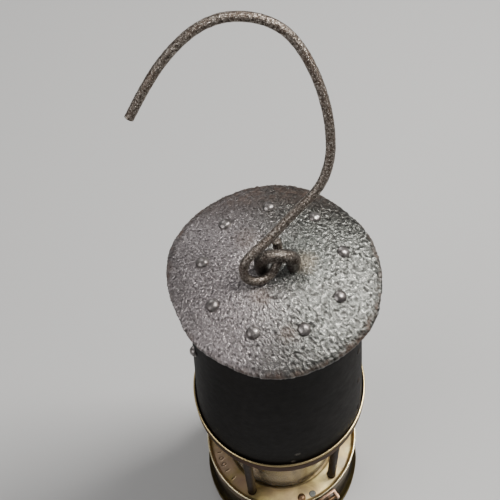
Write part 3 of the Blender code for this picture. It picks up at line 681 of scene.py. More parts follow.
def boolean(ob, shapes, operation="DIFFERENCE"):
    """Cuts or joins plain shapes (verts, faces in mm) and applies the result."""
    helpers = []
    for i, (v, f) in enumerate(shapes):
        me = bpy.data.meshes.new("helper")
        me.from_pydata([tuple(c * MM for c in p) for p in v], [], f)
        me.update()
        h = bpy.data.objects.new("helper_%d" % i, me)
        bpy.context.scene.collection.objects.link(h)
        mod = ob.modifiers.new("b%d" % i, "BOOLEAN")
        mod.operation = operation
        mod.solver = "EXACT"
        mod.object = h
        helpers.append(h)
    apply_all(ob)
    for h in helpers:
        me = h.data
        bpy.data.objects.remove(h, do_unlink=True)
        bpy.data.meshes.remove(me)
    return ob


def merged(shapes):
    v, f = [], []
    for sv, sf in shapes:
        base = len(v)
        v += list(sv)
        f += [tuple(i + base for i in face) for face in sf]
    return v, f


def apply_all(ob):
    bpy.context.view_layer.update()
    graph = bpy.context.evaluated_depsgraph_get()
    me = bpy.data.meshes.new_from_object(ob.evaluated_get(graph))
    old = ob.data
    ob.modifiers.clear()
    ob.data = me
    me.name = ob.name
    bpy.data.meshes.remove(old)


def box_shape(size, centre, matrix=None):
    v = []
    for x in (-0.5, 0.5):
        for y in (-0.5, 0.5):
            for z in (-0.5, 0.5):
                p = Vector((x * size[0], y * size[1], z * size[2]))
                if matrix is not None:
                    p = matrix @ p
                v.append(p + Vector(centre))
    f = [(0, 1, 3, 2), (4, 6, 7, 5), (0, 4, 5, 1), (2, 3, 7, 6), (0, 2, 6, 4), (1, 5, 7, 3)]
    return v, f


def smooth_path(points, step):
    pts = [Vector(p) for p in points]
    full = [2 * pts[0] - pts[1]] + pts + [2 * pts[-1] - pts[-2]]
    dense = []
    for i in range(1, len(full) - 2):
        p0, p1, p2, p3 = full[i - 1:i + 3]
        for k in range(24):
            t = k / 24
            dense.append(0.5 * ((2 * p1) + (p2 - p0) * t
                                + (2 * p0 - 5 * p1 + 4 * p2 - p3) * t * t
                                + (3 * p1 - p0 - 3 * p2 + p3) * t ** 3))
    dense.append(pts[-1])
    length = sum((b - a).length for a, b in zip(dense, dense[1:]))
    count = max(2, round(length / step))
    out, travelled, target = [dense[0]], 0.0, length / count
    for a, b in zip(dense, dense[1:]):
        d = (b - a).length
        while travelled + d >= target - 1e-9 and len(out) < count:
            out.append(a.lerp(b, (target - travelled) / d))
            target += length / count
        travelled += d
    out.append(dense[-1])
    return out


def tube(points, radius, sides, rough=None, start_dome=0.25, end_dome=0.25):
    """A round bar along points.  rough(p, arc) changes its radius; ends are
    flat faces with a small worn edge."""
    pts = [Vector(p) for p in points]
    n = len(pts)
    tang = []
    for i in range(n):
        a = pts[max(0, i - 1)]
        b = pts[min(n - 1, i + 1)]
        tang.append((b - a).normalized())
    side = tang[0].orthogonal().normalized()
    frames = []
    for i in range(n):
        if i:
            axis = tang[i - 1].cross(tang[i])
            if axis.length > 1e-9:
                side = Matrix.Rotation(tang[i - 1].angle(tang[i]), 3, axis.normalized()) @ side
        side = (side - tang[i] * side.dot(tang[i])).normalized()
        frames.append((side.copy(), tang[i].cross(side)))
    stations = []
    for k in range(4):                                 # worn edge at the start
        t = (math.pi / 2) * (k + 1) / 4
        stations.append((pts[0] + tang[0] * (start_dome * (1 - math.cos(t))), frames[0],
                         -start_dome * (1 - math.sin(t))))
    body = [(pts[i], frames[i], 0.0) for i in range(1, n - 1)
            if (pts[i] - pts[0]).length > start_dome * 1.1
            and (pts[i] - pts[-1]).length > end_dome * 1.1]
    tail = []
    for k in range(4):
        t = (math.pi / 2) * (k + 1) / 4
        tail.append((pts[-1] - tang[-1] * (end_dome * (1 - math.cos(t))), frames[-1],
                     -end_dome * (1 - math.sin(t))))
    stations = stations + body + tail[::-1]
    verts, faces = [], []
    travelled = 0.0
    last = stations[0][0]
    for p, (s, o), dr in stations:
        travelled += (p - last).length
        last = p
        for k in range(sides):
            a = math.tau * k / sides
            d = s * math.cos(a) + o * math.sin(a)
            r = radius + dr
            if rough:
                r += rough(p + d * radius, travelled)
            verts.append(p + d * r)
    rows = len(stations)
    for i in range(rows - 1):
        for k in range(sides):
            j = (k + 1) % sides
            faces.append((i * sides + k, i * sides + j, (i + 1) * sides + j, (i + 1) * sides + k))
    for row, flip in ((0, True), (rows - 1, False)):
        centre = len(verts)
        verts.append(sum((verts[row * sides + k] for k in range(sides)), Vector()) / sides)
        for k in range(sides):
            j = (k + 1) % sides
            tri = (row * sides + k, row * sides + j, centre)
            faces.append(tri[::-1] if flip else tri)
    return verts, faces


# =====================================================================
#  Camera, light, floor
# =====================================================================
def camera():
    fw = Vector((-0.02602198, 0.48183222, -0.87587703))
    r2 = Vector((0.99859325, -0.02796322, -0.0450508))
    u2 = Vector((0.04619927, 0.8758172, 0.48042675))
    cam = bpy.data.cameras.new("camera")
    cam.lens = 873.36 / 500 * 36
    cam.sensor_width = 36
    ob = bpy.data.objects.new("camera", cam)
    bpy.context.scene.collection.objects.link(ob)
    m = Matrix((r2, u2, -fw)).transposed().to_4x4()
    m.translation = Vector((0.0, -151.563, 550.80)) * MM
    ob.matrix_world = m
    cam.clip_start = 0.01
    bpy.context.scene.camera = ob


def area(name, place, aim, size, power, colour=(1, 1, 1), size_y=None):
    li = bpy.data.lights.new(name, "AREA")
    li.energy = power
    li.color = colour
    li.shape = "RECTANGLE" if size_y else "SQUARE"
    li.size = size
    if size_y:
        li.size_y = size_y
    ob = bpy.data.objects.new(name, li)
    bpy.context.scene.collection.objects.link(ob)
    ob.location = place
    ob.rotation_euler = (Vector(aim) - Vector(place)).to_track_quat("-Z", "Y").to_euler()
    return ob


def studio():
    world = bpy.data.worlds.new("studio")
    world.use_nodes = True
    bg = world.node_tree.nodes["Background"]
    bg.inputs[0].default_value = (0.80, 0.80, 0.81, 1)
    bg.inputs[1].default_value = 0.20
    bpy.context.scene.world = world
    area("key_light", (0.52, 0.16, 1.00), (0, 0, 0.24), 0.34, 19, (1.0, 0.98, 0.95))
    area("fill_light", (-0.80, -0.45, 0.80), (0, 0, 0.18), 0.8, 6, (1.0, 0.98, 0.98))
    area("back_light", (-0.30, 0.75, 0.70), (0, 0, 0.22), 0.45, 2, (1, 1, 1))
    me = bpy.data.meshes.new("floor")
    s = 3.0
    me.from_pydata([(-s, -s, -0.0002), (s, -s, -0.0002), (s, s, -0.0002), (-s, s, -0.0002)],
                   [], [(0, 1, 2, 3)])
    floor = bpy.data.objects.new("floor", me)
    bpy.context.scene.collection.objects.link(floor)
    m = bpy.data.materials.new("pale_floor")
    m.use_nodes = True
    b = m.node_tree.nodes["Principled BSDF"]
    b.inputs["Base Color"].default_value = (0.47, 0.47, 0.465, 1)
    b.inputs["Roughness"].default_value = 0.85
    me.materials.append(m)


camera()
studio()

# =====================================================================
#  Crown
# =====================================================================
def crown_z(r):
    return (CROWN_APEX_Z - CROWN_RISE * (r / CROWN_R) ** 2
            - SEAT_DROP * math.exp(-(r / 11.0) ** 4))


def rim_wave(degrees):
    total = 0.0
    for centre, height in RIM_WAVES:
        off = (degrees - centre + 180) % 360 - 180
        total += height * math.exp(-(off / 15.0) ** 2)
    return total


def wrinkle(x, y, r):
    """Height of the crown's hammered, pitted skin, about 0 to 1."""
    left = min(1.0, max(0.0, (14.0 - x) / 36.0))
    k = 0.92 + 0.42 * left
    p = Vector((x * k, y * k, 3.0))
    q = p + Vector((noise.noise(p * 0.5), noise.noise(p * 0.5 + Vector((9, 4, 1))), 0)) * 1.1
    a = noise.noise(q * 1.0)
    b = noise.noise(q * 1.9 + Vector((5, 7, 2)))
    c = 1.0 - min(1.0, abs(noise.noise(q * 0.75 + Vector((2, 1, 8)))) * 3.0)
    return 0.42 + 0.74 * a + 0.24 * b + 0.22 * c


def build_crown():
    stations = [(r, 1.0) for r in np.linspace(0.6, 38.8, 112)]
    rim = [(39.4, 254.98 + 0.25), (40.1, 254.72 + 0.2), (40.6, 254.45), (40.9, 254.05),
           (CROWN_R, 253.6), (40.95, 253.15), (40.7, 252.85), (40.3, 252.72),
           (39.9, 252.85), (39.6, 253.1)]
    under = [(r, crown_z(r) - CROWN_T) for r in (38.2, 34, 30, 27, 24, 20, 16, 13, 10, 7, 4)]
    steps = 700
    prof = [(r, crown_z(r), 1) for r, _ in stations] + [(r, z, 2) for r, z in rim] + \
           [(r, z, 0) for r, z in under]
    verts, attr = [], []
    verts.append((0, 0, crown_z(0)))
    attr.append(0.5)
    for r, z, kind in prof:
        for k in range(steps):
            a = math.tau * k / steps
            rr = r
            if r > 28:
                rr = r + rim_wave(math.degrees(a if a < math.pi else a - math.tau)) \
                    * ((r - 28) / 13.0) ** 1.5
            x, y, zz = rr * math.cos(a), rr * math.sin(a), z
            h = 0.5
            if kind:
                h = wrinkle(x, y, r)
                calm = 0.22 + 0.78 * min(1.0, max(0.0, (math.hypot(x - 4, y) - 8.0) / 13.0))
                side = 0.78 + 0.22 * math.cos(a + 0.7)
                amp = 0.37 * calm * side
                if kind == 1:
                    zz += (h - 0.5) * amp
                    zz += 0.22 * noise.noise(Vector((x, y, 0)) * 0.09) * min(1, r / 20)
                else:
                    e = 0.9 * noise.noise(Vector((x, y, z)) * 0.25) * 0.35
                    push = (h - 0.5) * 0.45 + e * 0.6
                    x += push * math.cos(a)
                    y += push * math.sin(a)
                    zz += (h - 0.5) * amp * 0.7
            verts.append((x, y, zz))
            attr.append(h if kind else 0.35)
    centre_under = len(verts)
    verts.append((0, 0, crown_z(0) - CROWN_T))
    attr.append(0.3)
    faces = []
    rows = len(prof)
    for k in range(steps):
        j = (k + 1) % steps
        faces.append((0, 1 + k, 1 + j))
        last = 1 + (rows - 1) * steps
        faces.append((centre_under, last + j, last + k))
    for i in range(rows - 1):
        a0, b0 = 1 + i * steps, 1 + (i + 1) * steps
        for k in range(steps):
            j = (k + 1) % steps
            faces.append((a0 + k, b0 + k, b0 + j, a0 + j))
    piece("crown_skin", verts, faces, M_CROWN, "lamp_frame", ("crown_plate",),
          attrs={"wrinkle": attr})


build_crown()


# ------------------------------------------------------------ fasteners
def domed_rivet(name, node, base, normal, head_r, head_h, sink, material, seed,
                body="lamp_frame", tail=0.0, tail_r=0.0, grip=0.0, steps=28, rough=0.07):
    """A hand-set rivet: an uneven domed head seated in the plate."""
    prof = [(0.0, head_h)]
    for k in range(1, 9):
        t = math.radians(10.5 * k)
        prof.append((head_r * math.sin(t), head_h * math.cos(t)))
    prof += [(head_r * 1.01, 0.10), (head_r * 0.99, -0.05), (head_r * 0.97, -sink)]
    if tail:
        prof += [(0.9, -sink), (0.9, -grip), (tail_r, -grip), (tail_r * 0.96, -grip - tail * 0.4),
                 (tail_r * 0.7, -grip - tail * 0.9), (0.0, -grip - tail)]
    else:
        prof += [(0.0, -sink)]
    v, f = lathe(prof, steps)
    turn = normal.normalized().to_track_quat("Z", "Y").to_matrix()
    out = []
    for p in v:
        p = Vector(p)
        k = 1.0
        if p.z > 0.05:
            k += rough * noise.noise(Vector((p.x * 0.9 + seed * 7, p.y * 0.9, p.z)))
            p.z *= 1.0 + 0.10 * noise.noise(Vector((p.x * 0.7, p.y * 0.7 + seed * 5, 1.0)))
        p.x *= k * (1 + 0.03 * math.sin(seed * 2.1))
        p.y *= k * (1 - 0.03 * math.sin(seed * 2.1))
        out.append(base + turn @ p)
    piece(name, out, f, material, body, (node,))


slope = math.atan(2 * CROWN_RISE * RIVET_CIRCLE_R / CROWN_R ** 2)
for k in range(RIVET_COUNT):
    d = RIVET_FIRST_DEG + 360 * k / RIVET_COUNT
    base = polar(RIVET_CIRCLE_R, d, crown_z(RIVET_CIRCLE_R) - 0.02)
    domed_rivet("crown_rivet_head_%d" % (k + 1), "crown_rivet_%d" % (k + 1), base,
                polar(math.sin(slope), d, math.cos(slope)), 2.5, 1.65, 0.25,
                M_RIVET, k + 1, tail=0.9, tail_r=2.2, grip=3.6)


def bonnet_radius(z):
    return BONNET_FOOT_R - BONNET_TAPER * (z - BONNET_Z0)


seam_rivets = [(SEAM_DEG, 146.5), (SEAM_DEG, 180.0), (SEAM_DEG, 212.5), (SEAM_DEG, 244.2)]
for k, (d, z) in enumerate(seam_rivets):
    domed_rivet("seam_rivet_head_%d" % (k + 1), "bonnet_seam_rivet_%d" % (k + 1),
                polar(bonnet_radius(z) + LAP_T - 0.02, d, z), polar(1.0, d, BONNET_TAPER),
                1.5, 0.6, 0.2, M_TOP, k + 20,
                tail=0.5, tail_r=1.4, grip=LAP_T + BONNET_T - 0.05, steps=20)
d, z = -162.7, 209.0
domed_rivet("side_rivet_head", "bonnet_side_rivet", polar(bonnet_radius(z) - 0.02, d, z),
            polar(1.0, d, BONNET_TAPER), 2.4, 2.1, 0.2, M_RIVET, 31,
            tail=0.6, tail_r=1.8, grip=BONNET_T - 0.05)


# =====================================================================
#  Bonnet
# =====================================================================
def build_bonnet():
    edges = [SEAM_DEG + 5.4]
    angles = list(np.arange(-180, 180, 1.5))
    for e in edges:
        angles = [a for a in angles if abs(a - e) > 0.5]
        angles += [e - 0.30, e - 0.06, e + 0.06, e + 0.30]
    angles = sorted(angles)

    def lap(a):
        rise = (a - (SEAM_DEG - 26.0)) / 21.8
        return LAP_T * min(1.0, max(0.0, rise)) if a < edges[0] else 0.0

    rows = list(np.linspace(BONNET_Z0 + 0.35, BONNET_Z1 - 0.3, 84))
    top_seam, bottom_seam = 250.4, 139.3
    ring_defs = []            # (height, inset from the outer face, inner?)
    n = len(angles)
    verts, faces = [], []

    def outer(a, z):
        p = polar(bonnet_radius(z), a, z)
        dent = 0.16 * noise.noise(p * 0.04) + 0.02 * noise.noise(p * 0.12)
        fade = min(1.0, (z - BONNET_Z0) / 8.0) * min(1.0, (BONNET_Z1 - z) / 6.0 + 0.2)
        extra = lap(a) * (1.0 if bottom_seam < z < top_seam else 0.0)
        return bonnet_radius(z) + extra + dent * fade - 0.08

    profile = []
    profile.append(("in", BONNET_Z1 - 0.3))
    profile.append(("mid", BONNET_Z1))
    zs = rows[::-1]
    extra_rows = [top_seam + 0.05, top_seam - 0.05, bottom_seam + 0.05, bottom_seam - 0.05]
    zs = sorted(set(zs) | set(extra_rows), reverse=True)
    for z in zs:
        profile.append(("out", z))
    profile.append(("mid", BONNET_Z0))
    for z in np.linspace(BONNET_Z0 + 0.35, BONNET_Z1 - 0.35, 26):
        profile.append(("in", z))
    profile = profile[1:]
    for kind, z in profile:
        for a in angles:
            if kind == "out":
                r = outer(a, z)
            elif kind == "mid":
                r = bonnet_radius(z) - BONNET_T / 2
            else:
                r = bonnet_radius(z) - BONNET_T
            verts.append(polar(r, a, z))
    rows_n = len(profile)
    for i in range(rows_n):
        a0, b0 = i * n, ((i + 1) % rows_n) * n
        for k in range(n):
            j = (k + 1) % n
            faces.append((a0 + k, b0 + k, b0 + j, a0 + j))
    ob = piece("bonnet_sheet", verts, faces, M_BONNET, "lamp_frame", ("bonnet_shell",))
    holes = []
    for k in range(VENT_COUNT):
        d = SEAM_DEG + (k + 0.5) * 360 / VENT_COUNT
        holes.append(cylinder_mesh(polar(28, d, VENT_Z), polar(44, d, VENT_Z), VENT_R, 20))
    boolean(ob, [merged(holes)])
    ob.data.shade_smooth()
    ob.data.set_sharp_from_angle(angle=math.radians(38))


build_bonnet()
turned("crown_support_ring", [
    (24.5, crown_z(24.5) - CROWN_T - 0.1), (27.4, crown_z(27.4) - CROWN_T - 0.1),
    (30.0, crown_z(30.0) - CROWN_T - 0.1), (30.8, 256.2), (32.4, 251.6),
    (32.4, 247.3), (31.3, 247.3), (31.3, 251.3), (29.9, 255.2),
    (29.0, 256.0), (27.4, 256.6), (24.5, 257.4)], 120, M_TOP, "lamp_frame",
    ("bonnet_top_ring",), 0.4)


# =====================================================================
#  Middle ring, pillars, glass
# =====================================================================
def worn(amount, scale, seed):
    """A slight unevenness for a turned ring that has been knocked about."""
    def move(r, a, z):
        x, y = r * math.cos(a), r * math.sin(a)
        n = noise.noise(Vector((x * scale + seed, y * scale, z * scale)))
        k = (r + amount * n) / r
        return (x * k, y * k, z + amount * 0.3 * noise.noise(
            Vector((x * scale, y * scale + seed, 4.0))))
    return move


turned("middle_ring_turned", [
    (26.5, MID_LEDGE_Z), (41.6, MID_LEDGE_Z, 0.1), (41.6, 138.35, 0.25),
    (41.85, MID_RING_Z1, 0.25), (42.35, MID_RING_Z1, 0.3), (MID_RING_R, 138.3, 0.3),
    (MID_RING_R, 137.5, 0.08), (42.55, 137.3, 0.08), (42.55, 137.05, 0.08),
    (MID_RING_R, 136.85, 0.08),
    (MID_RING_R, 130.2, 0.4), (42.2, MID_RING_Z0, 0.4), (30.5, MID_RING_Z0, 0.3),
    (30.5, 131.2, 0.2), (26.5, 131.2, 0.3)], 240, M_MID, "lamp_frame",
    ("middle_ring",), 0.3, 3, move=worn(0.05, 0.08, 3.0))

for k in range(5):
    p = polar(PILLAR_CIRCLE_R, PILLAR_DEGREES[k], 0)
    turned("pillar_rod_%d" % (k + 1), [
        (0, 135.6, 0), (1.3, 135.6, 0.1), (1.6, 135.3, 0.1), (1.6, 129.55, 0.1),
        (2.6, 129.55, 0.3), (2.6, 128.6, 0.45), (PILLAR_R, 127.7, 0.5),
        (PILLAR_R, 53.2, 0.5), (2.55, 52.2, 0.45), (2.6, 50.75, 0.2), (1.6, 50.7, 0.1),
        (1.6, 46.2, 0.1), (0, 46.2, 0)], 36, M_PILLAR, "lamp_frame",
        ("pillar_%d" % (k + 1),), 0.3, 3, centre=(p.x, p.y), closed=False,
        dense=3.0)

inner_r = GLASS_R - GLASS_WALL
turned("chimney_glass", [
    (inner_r, GLASS_Z1), (GLASS_R, GLASS_Z1), (GLASS_R, GLASS_Z0), (inner_r, GLASS_Z0)],
    160, M_GLASS, "lamp_frame", ("glass_cylinder",), 0.9, 5)

# =====================================================================
#  Lower ring with its punched tally marks
# =====================================================================
MARKS = [polar(37.6, d, 0) for d in MARK_DEGREES]


def punched(x, y):
    """How deep the tally marks are at a point of the ring's floor, 0 to 1."""
    depth = 0.0
    for k, m in enumerate(MARKS):
        along = (x * m.x + y * m.y) / m.length - m.length
        across = (x * m.y - y * m.x) / m.length
        if abs(along) > 2.4 or abs(across) > 2.0:
            continue
        if k in (1, 2):
            off = abs(math.hypot(along / 1.15, across / 0.75) - 1.0) * 0.9
        else:
            off = math.hypot(max(0.0, abs(along) - 1.0), across)
        depth = max(depth, math.exp(-(off / 0.33) ** 2))
    return depth


def floor_move(r, a, z):
    x, y = r * math.cos(a), r * math.sin(a)
    zz = z
    if 33.0 < r < 41.4 and z > 49.9:
        zz += 0.07 * noise.noise(Vector((x, y, 2.0)) * 0.13) - 0.22 * punched(x, y)
    n = 0.05 * noise.noise(Vector((x * 0.07, y * 0.07, z * 0.07 + 5)))
    if z > 52.5 and r > 41.7:
        n += 0.06 * noise.noise(Vector((x * 0.5, y * 0.5, z)))
    k = (r + n) / r
    return (x * k, y * k, zz)


prof = fillet([
    (BORE_R, 49.2, 0.15), (31.0, 49.2, 0.2), (31.0, 50.2, 0.35), (33.4, 50.45, 1.0), (40.9, 50.75, 1.2), (41.75, 52.6, 1.0),
    (42.05, 53.85, 0.15), (42.25, BASE_RIM_Z, 0.2), (42.7, BASE_RIM_Z, 0.25),
    (BASE_RING_R, 53.55, 0.2), (BASE_RING_R, 52.95, 0.15), (42.6, 52.5, 0.25),
    (42.9, 52.0, 0.2), (42.9, 51.4, 0.08), (42.7, 51.2, 0.08), (42.9, 51.0, 0.08),
    (42.9, 40.6, 0.3), (42.4, BASE_RING_Z0, 0.2),
    (40.9, BASE_RING_Z0, 0.15), (40.9, 41.6, 0.15), (34.7, 41.6, 0.15),
    (34.7, BASE_RING_Z0, 0.15), (BORE_R, BASE_RING_Z0, 0.15)], 0.3, 4)
prof = denser(prof, 0.28, True, lambda r, z: 33.2 < r < 41.2 and z > 50)
v, f = lathe(prof, 840, move=floor_move)
lower = piece("lower_ring_turned", v, f, M_LOWER, "lamp_frame", ("lower_ring",),
              attrs={"mark": [punched(p[0], p[1]) if p[2] > 49.9 else 0.0 for p in v]})
LEAD = polar(38.9, -65.5, 0)
LOCKR = polar(38.6, -75.2, 0)
turned("lead_seal_plug", [(0, 51.1, 0), (1.6, 51.05, 0.3), (2.05, 50.65, 0.2),
                          (2.0, 44.4, 0.2), (0, 44.4, 0)], 40, M_LEAD, "lamp_frame",
       ("lead_plug",), 0.2, 4, centre=(LEAD.x, LEAD.y), closed=False,
       move=lambda r, a, z: (LEAD.x + r * math.cos(a) * (1 + 0.04 * math.sin(2 * a + 1)),
                             LEAD.y + r * math.sin(a) * (1 + 0.03 * math.sin(3 * a)),
                             z + (0.12 * noise.noise(Vector((r * math.cos(a), r * math.sin(a), 0)) * 0.8)
                                  if z > 50.5 else 0)))
domed_rivet("lock_rivet_head", "lock_rivet", Vector((LOCKR.x, LOCKR.y, 50.75)),
            Vector((0, 0, 1)), 2.3, 1.3, 0.2, M_BROWN, 41,
            tail=0.5, tail_r=1.3, grip=5.0)


# =====================================================================
#  Lock
# =====================================================================
def hasp_frame(r, t, z):
    a = math.radians(HASP_DEG)
    return Vector((r * math.cos(a) - t * math.sin(a), r * math.sin(a) + t * math.cos(a), z))


HT = Matrix.Rotation(math.radians(HASP_DEG), 3, "Z")


def bevelled(ob, width, segments=3, angle=40):
    mod = ob.modifiers.new("bevel", "BEVEL")
    mod.width = width * MM
    mod.segments = segments
    mod.limit_method = "ANGLE"
    mod.angle_limit = math.radians(angle)
    mod.harden_normals = False
    apply_all(ob)
    ob.data.shade_smooth()
    ob.data.set_sharp_from_angle(angle=math.radians(50))
    return ob


v, f = box_shape((1.4, 12.4, 7.0), hasp_frame(44.05, 0, 49.9), HT)
block = piece("hasp_hinge_casting", v, f, M_COPPER, "lamp_frame", ("hasp_hinge_block",),
              smooth=False)
boolean(block, [box_shape((4.6, 1.5, 3.6), hasp_frame(46.6, s * 5.4, 51.5), HT)
                for s in (-1, 1)], "UNION")
bevelled(block, 0.35)
boolean(block, [cylinder_mesh(hasp_frame(HASP_PIN_R, -9, HASP_PIN_Z),
                              hasp_frame(HASP_PIN_R, 9, HASP_PIN_Z), 1.15, 24)])
v, f = tube([hasp_frame(HASP_PIN_R, t, HASP_PIN_Z) for t in np.linspace(-6.9, 6.9, 24)],
            1.0, 24, start_dome=0.35, end_dome=0.35)
piece("hasp_pin", v, f, M_BROWN, "lamp_frame", ("hasp_hinge_pin",), angle=40)

v, f = cylinder_mesh(hasp_frame(HASP_PIN_R, -4.2, HASP_PIN_Z),
                     hasp_frame(HASP_PIN_R, 4.2, HASP_PIN_Z), 1.95, 40)
hasp = piece("hasp_plate", v, f, M_COPPER, "lock_hasp", ("lock_hasp",),
             smooth=False)
sl = math.radians(24)
tilt = HT @ Matrix.Rotation(sl, 3, "Y")
run = 6.4
mid = Vector((HASP_PIN_R + 0.35 + run / 2 * math.cos(sl), 0,
              HASP_PIN_Z + 1.05 - run / 2 * math.sin(sl)))
boolean(hasp, [box_shape((run, 8.4, 1.7), hasp_frame(mid.x, 0, mid.z), tilt),
               box_shape((1.7, 8.4, 15.4), hasp_frame(52.1, 0, 42.75), HT)], "UNION")
bevelled(hasp, 0.4, 3, 50)
boolean(hasp, [merged([
    cylinder_mesh(hasp_frame(HASP_PIN_R, -9, HASP_PIN_Z),
                  hasp_frame(HASP_PIN_R, 9, HASP_PIN_Z), 1.15, 24),
    cylinder_mesh(hasp_frame(50.0, 0, 38.4), hasp_frame(56.0, 0, 38.4), 1.7, 24)])])
hasp.data.shade_smooth()
hasp.data.set_sharp_from_angle(angle=math.radians(45))

v, f = box_shape((5.1, 7.6, 12.6), hasp_frame(45.85, 0, 36.7), HT)
lug = piece("font_lug", v, f, M_COPPER, "oil_font", ("font_lock_lug",),
            smooth=False)
bevelled(lug, 0.6)
boolean(lug, [cylinder_mesh(hasp_frame(42.0, 0, 38.4), hasp_frame(50.0, 0, 38.4), 1.7, 24)])
lug.data.shade_smooth()
lug.data.set_sharp_from_angle(angle=math.radians(45))

# =====================================================================
#  Oil font
# =====================================================================
turned("font_wall_spun", [
    (42.0, 37.4, 0.3), (FONT_R, 36.8, 0.4), (FONT_R, 18.0, 3), (42.9, 14.4, 3),
    (43.8, 11.8, 2), (45.4, 9.9, 1.2), (FOOT_R, 8.4, 1.0), (FOOT_R, 3.6, 0.6),
    (45.3, 2.7, 0.3), (44.0, 2.7, 0.2), (44.0, 8.6, 1.0), (42.2, 11.0, 1.5),
    (41.1, 14.0, 2), (40.8, 18.0, 2), (40.8, 37.4, 0.2)], 240, M_FONT, "oil_font",
    ("font_wall",), 0.4, 5, move=worn(0.05, 0.06, 9.0))
bottom = turned("font_foot_plate", [
    (0, 2.3, 0), (40.4, 2.3, 0.2), (40.4, 6.0, 0.3), (43.6, 6.0, 0.3), (43.6, 2.3, 0.2),
    (45.4, 2.3, 0.3), (45.95, 1.8, 0.3), (45.95, 0.5, 0.4), (45.4, 0.0, 0.3), (0, 0.0, 0)],
    200, M_FONT, "oil_font", ("font_bottom",), 0.3, 4, closed=False)
boolean(bottom, [cylinder_mesh((13, 0, -2), (13, 0, 5), 8.6, 48)])
bottom.data.shade_smooth()
bottom.data.set_sharp_from_angle(angle=math.radians(40))

thread = [(0, 39.0, 0), (29.0, 39.0, 0.3), (29.2, 44.4, 0.2), (29.6, 44.7, 0.2),
          (31.4, 44.7, 0.2), (NECK_R, 44.0, 0.15), (31.3, 43.3, 0.15), (NECK_R, 42.5, 0.15),
          (31.3, 41.8, 0.15), (NECK_R, 41.0, 0.15), (31.2, 40.3, 0.15),
          (31.2, FONT_TOP_Z, 0.15), (41.9, FONT_TOP_Z, 0.2), (42.4, 39.1, 0.2),
          (42.4, 38.1, 0.2), (42.0, 37.7, 0.2), (40.4, 37.7, 0.1), (40.4, 37.0, 0.1),
          (0, 37.0, 0)]
top = turned("font_neck_plate", thread, 180, M_BRASS_IN, "oil_font", ("font_top",),
             0.2, 3, closed=False)
boolean(top, [merged([cylinder_mesh((0, 0, 34), (0, 0, 42), 5.4, 40),
                      cylinder_mesh((-16, 0, 34), (-16, 0, 42), 4.9, 40),
                      cylinder_mesh((13, 0, 34), (13, 0, 42), 1.95, 24)])])
top.data.shade_smooth()
top.data.set_sharp_from_angle(angle=math.radians(40))

turned("burner_tube", [(4.2, 66.0), (5.0, 66.0), (5.0, 12.0), (4.2, 12.0)], 64, M_BURNER,
       "oil_font", ("wick_tube",), 0.2, 3)
turned("burner_collar", [(5.4, 50.0), (6.3, 50.0), (6.9, 46.5, 1.0), (8.2, 41.4, 0.5),
                         (8.2, 39.3), (5.4, 39.3)], 72, M_BURNER, "oil_font",
       ("wick_tube_collar",), 0.3, 3)
v, f = lathe(denser(fillet([(0, 67.6, 0), (2.8, 67.5, 0.5), (3.6, 66.8, 0.4), (3.6, 7.0, 0.4),
                            (0, 7.0, 0)], 0.3, 3, False), 0.8, False), 44,
             move=lambda r, a, z: (
                 (r + 0.14 * noise.noise(Vector((6 * math.cos(a), 6 * math.sin(a), z * 0.5)))) * math.cos(a),
                 (r + 0.14 * noise.noise(Vector((6 * math.cos(a), 6 * math.sin(a), z * 0.5)))) * math.sin(a),
                 z + (0.35 * noise.noise(Vector((r * math.cos(a), r * math.sin(a), 1)) * 1.1)
                      if z > 66 else 0)))
piece("flat_wick", v, f, M_WICK, "oil_font", ("wick",))

# pricker
shaft = [Vector((13, 0, z)) for z in (3.0, 10.0, 20.0, 30.0, 40.0, 50.0, 60.0, 66.0)]
elbow = [Vector((13 - 4 * (1 - math.cos(a)), 0, 66.0 + 4 * math.sin(a)))
         for a in [math.radians(d) for d in (22.5, 45, 67.5, 90)]]
tip = [Vector((6.0, 0, 70.0)), Vector((2.6, 0, 69.7)), Vector((1.0, 0, 68.9))]
v, f = tube(smooth_path(shaft + elbow + tip, 0.8), 0.8, 16)
pr = piece("pricker_rod", v, f, M_STAPLE, "pricker", ("pricker_wire",),
           angle=50)
kv, kf = lathe(fillet([(0, 4.0, 0), (4.6, 4.0, 0.5), (4.6, 1.2, 0.5), (0, 1.2, 0)],
                      0.5, 4, False), 40, centre=(13, 0))
boolean(pr, [(kv, kf)], "UNION")
pr.data.shade_smooth()
pr.data.set_sharp_from_angle(angle=math.radians(50))
turned("pricker_gland_tube", [(1.15, 42.4), (1.65, 42.4), (1.65, 10.9), (1.15, 10.9)],
       28, M_BURNER, "oil_font", ("pricker_tube",), 0.12, 2, centre=(13, 0))
turned("pricker_pocket", [(1.95, 10.5), (8.2, 10.5, 0.8), (8.2, 0.6), (7.4, 0.6),
                          (7.4, 9.3, 0.6), (1.95, 9.3)], 60, M_FONT, "oil_font",
       ("pricker_well",), 0.2, 3, centre=(13, 0))
capv = turned("filler_plug", [(0, 43.0, 0), (6.4, 43.0, 0.3), (7.0, 42.5, 0.3),
                              (7.0, 40.6, 0.2), (4.5, 40.6, 0.1), (4.5, 35.2, 0.2),
                              (4.0, 34.7, 0.2), (0, 34.7, 0)], 56, M_BRASS_IN,
              "filler_cap", ("filler_cap",), 0.2, 3, centre=(-16, 0),
              closed=False)
boolean(capv, [box_shape((18, 1.6, 2.0), (-16, 0, 43.0))])
capv.data.shade_smooth()
capv.data.set_sharp_from_angle(angle=math.radians(40))

# =====================================================================
#  Staple and hook
# =====================================================================
staple_up = Vector((0, -math.sin(STAPLE_LEAN), math.cos(STAPLE_LEAN)))
staple_foot = Vector((STAPLE_X, STAPLE_Y, crown_z(0)))


def staple_point(x, t):
    return staple_foot + Vector((x, 0, 0)) + staple_up * t


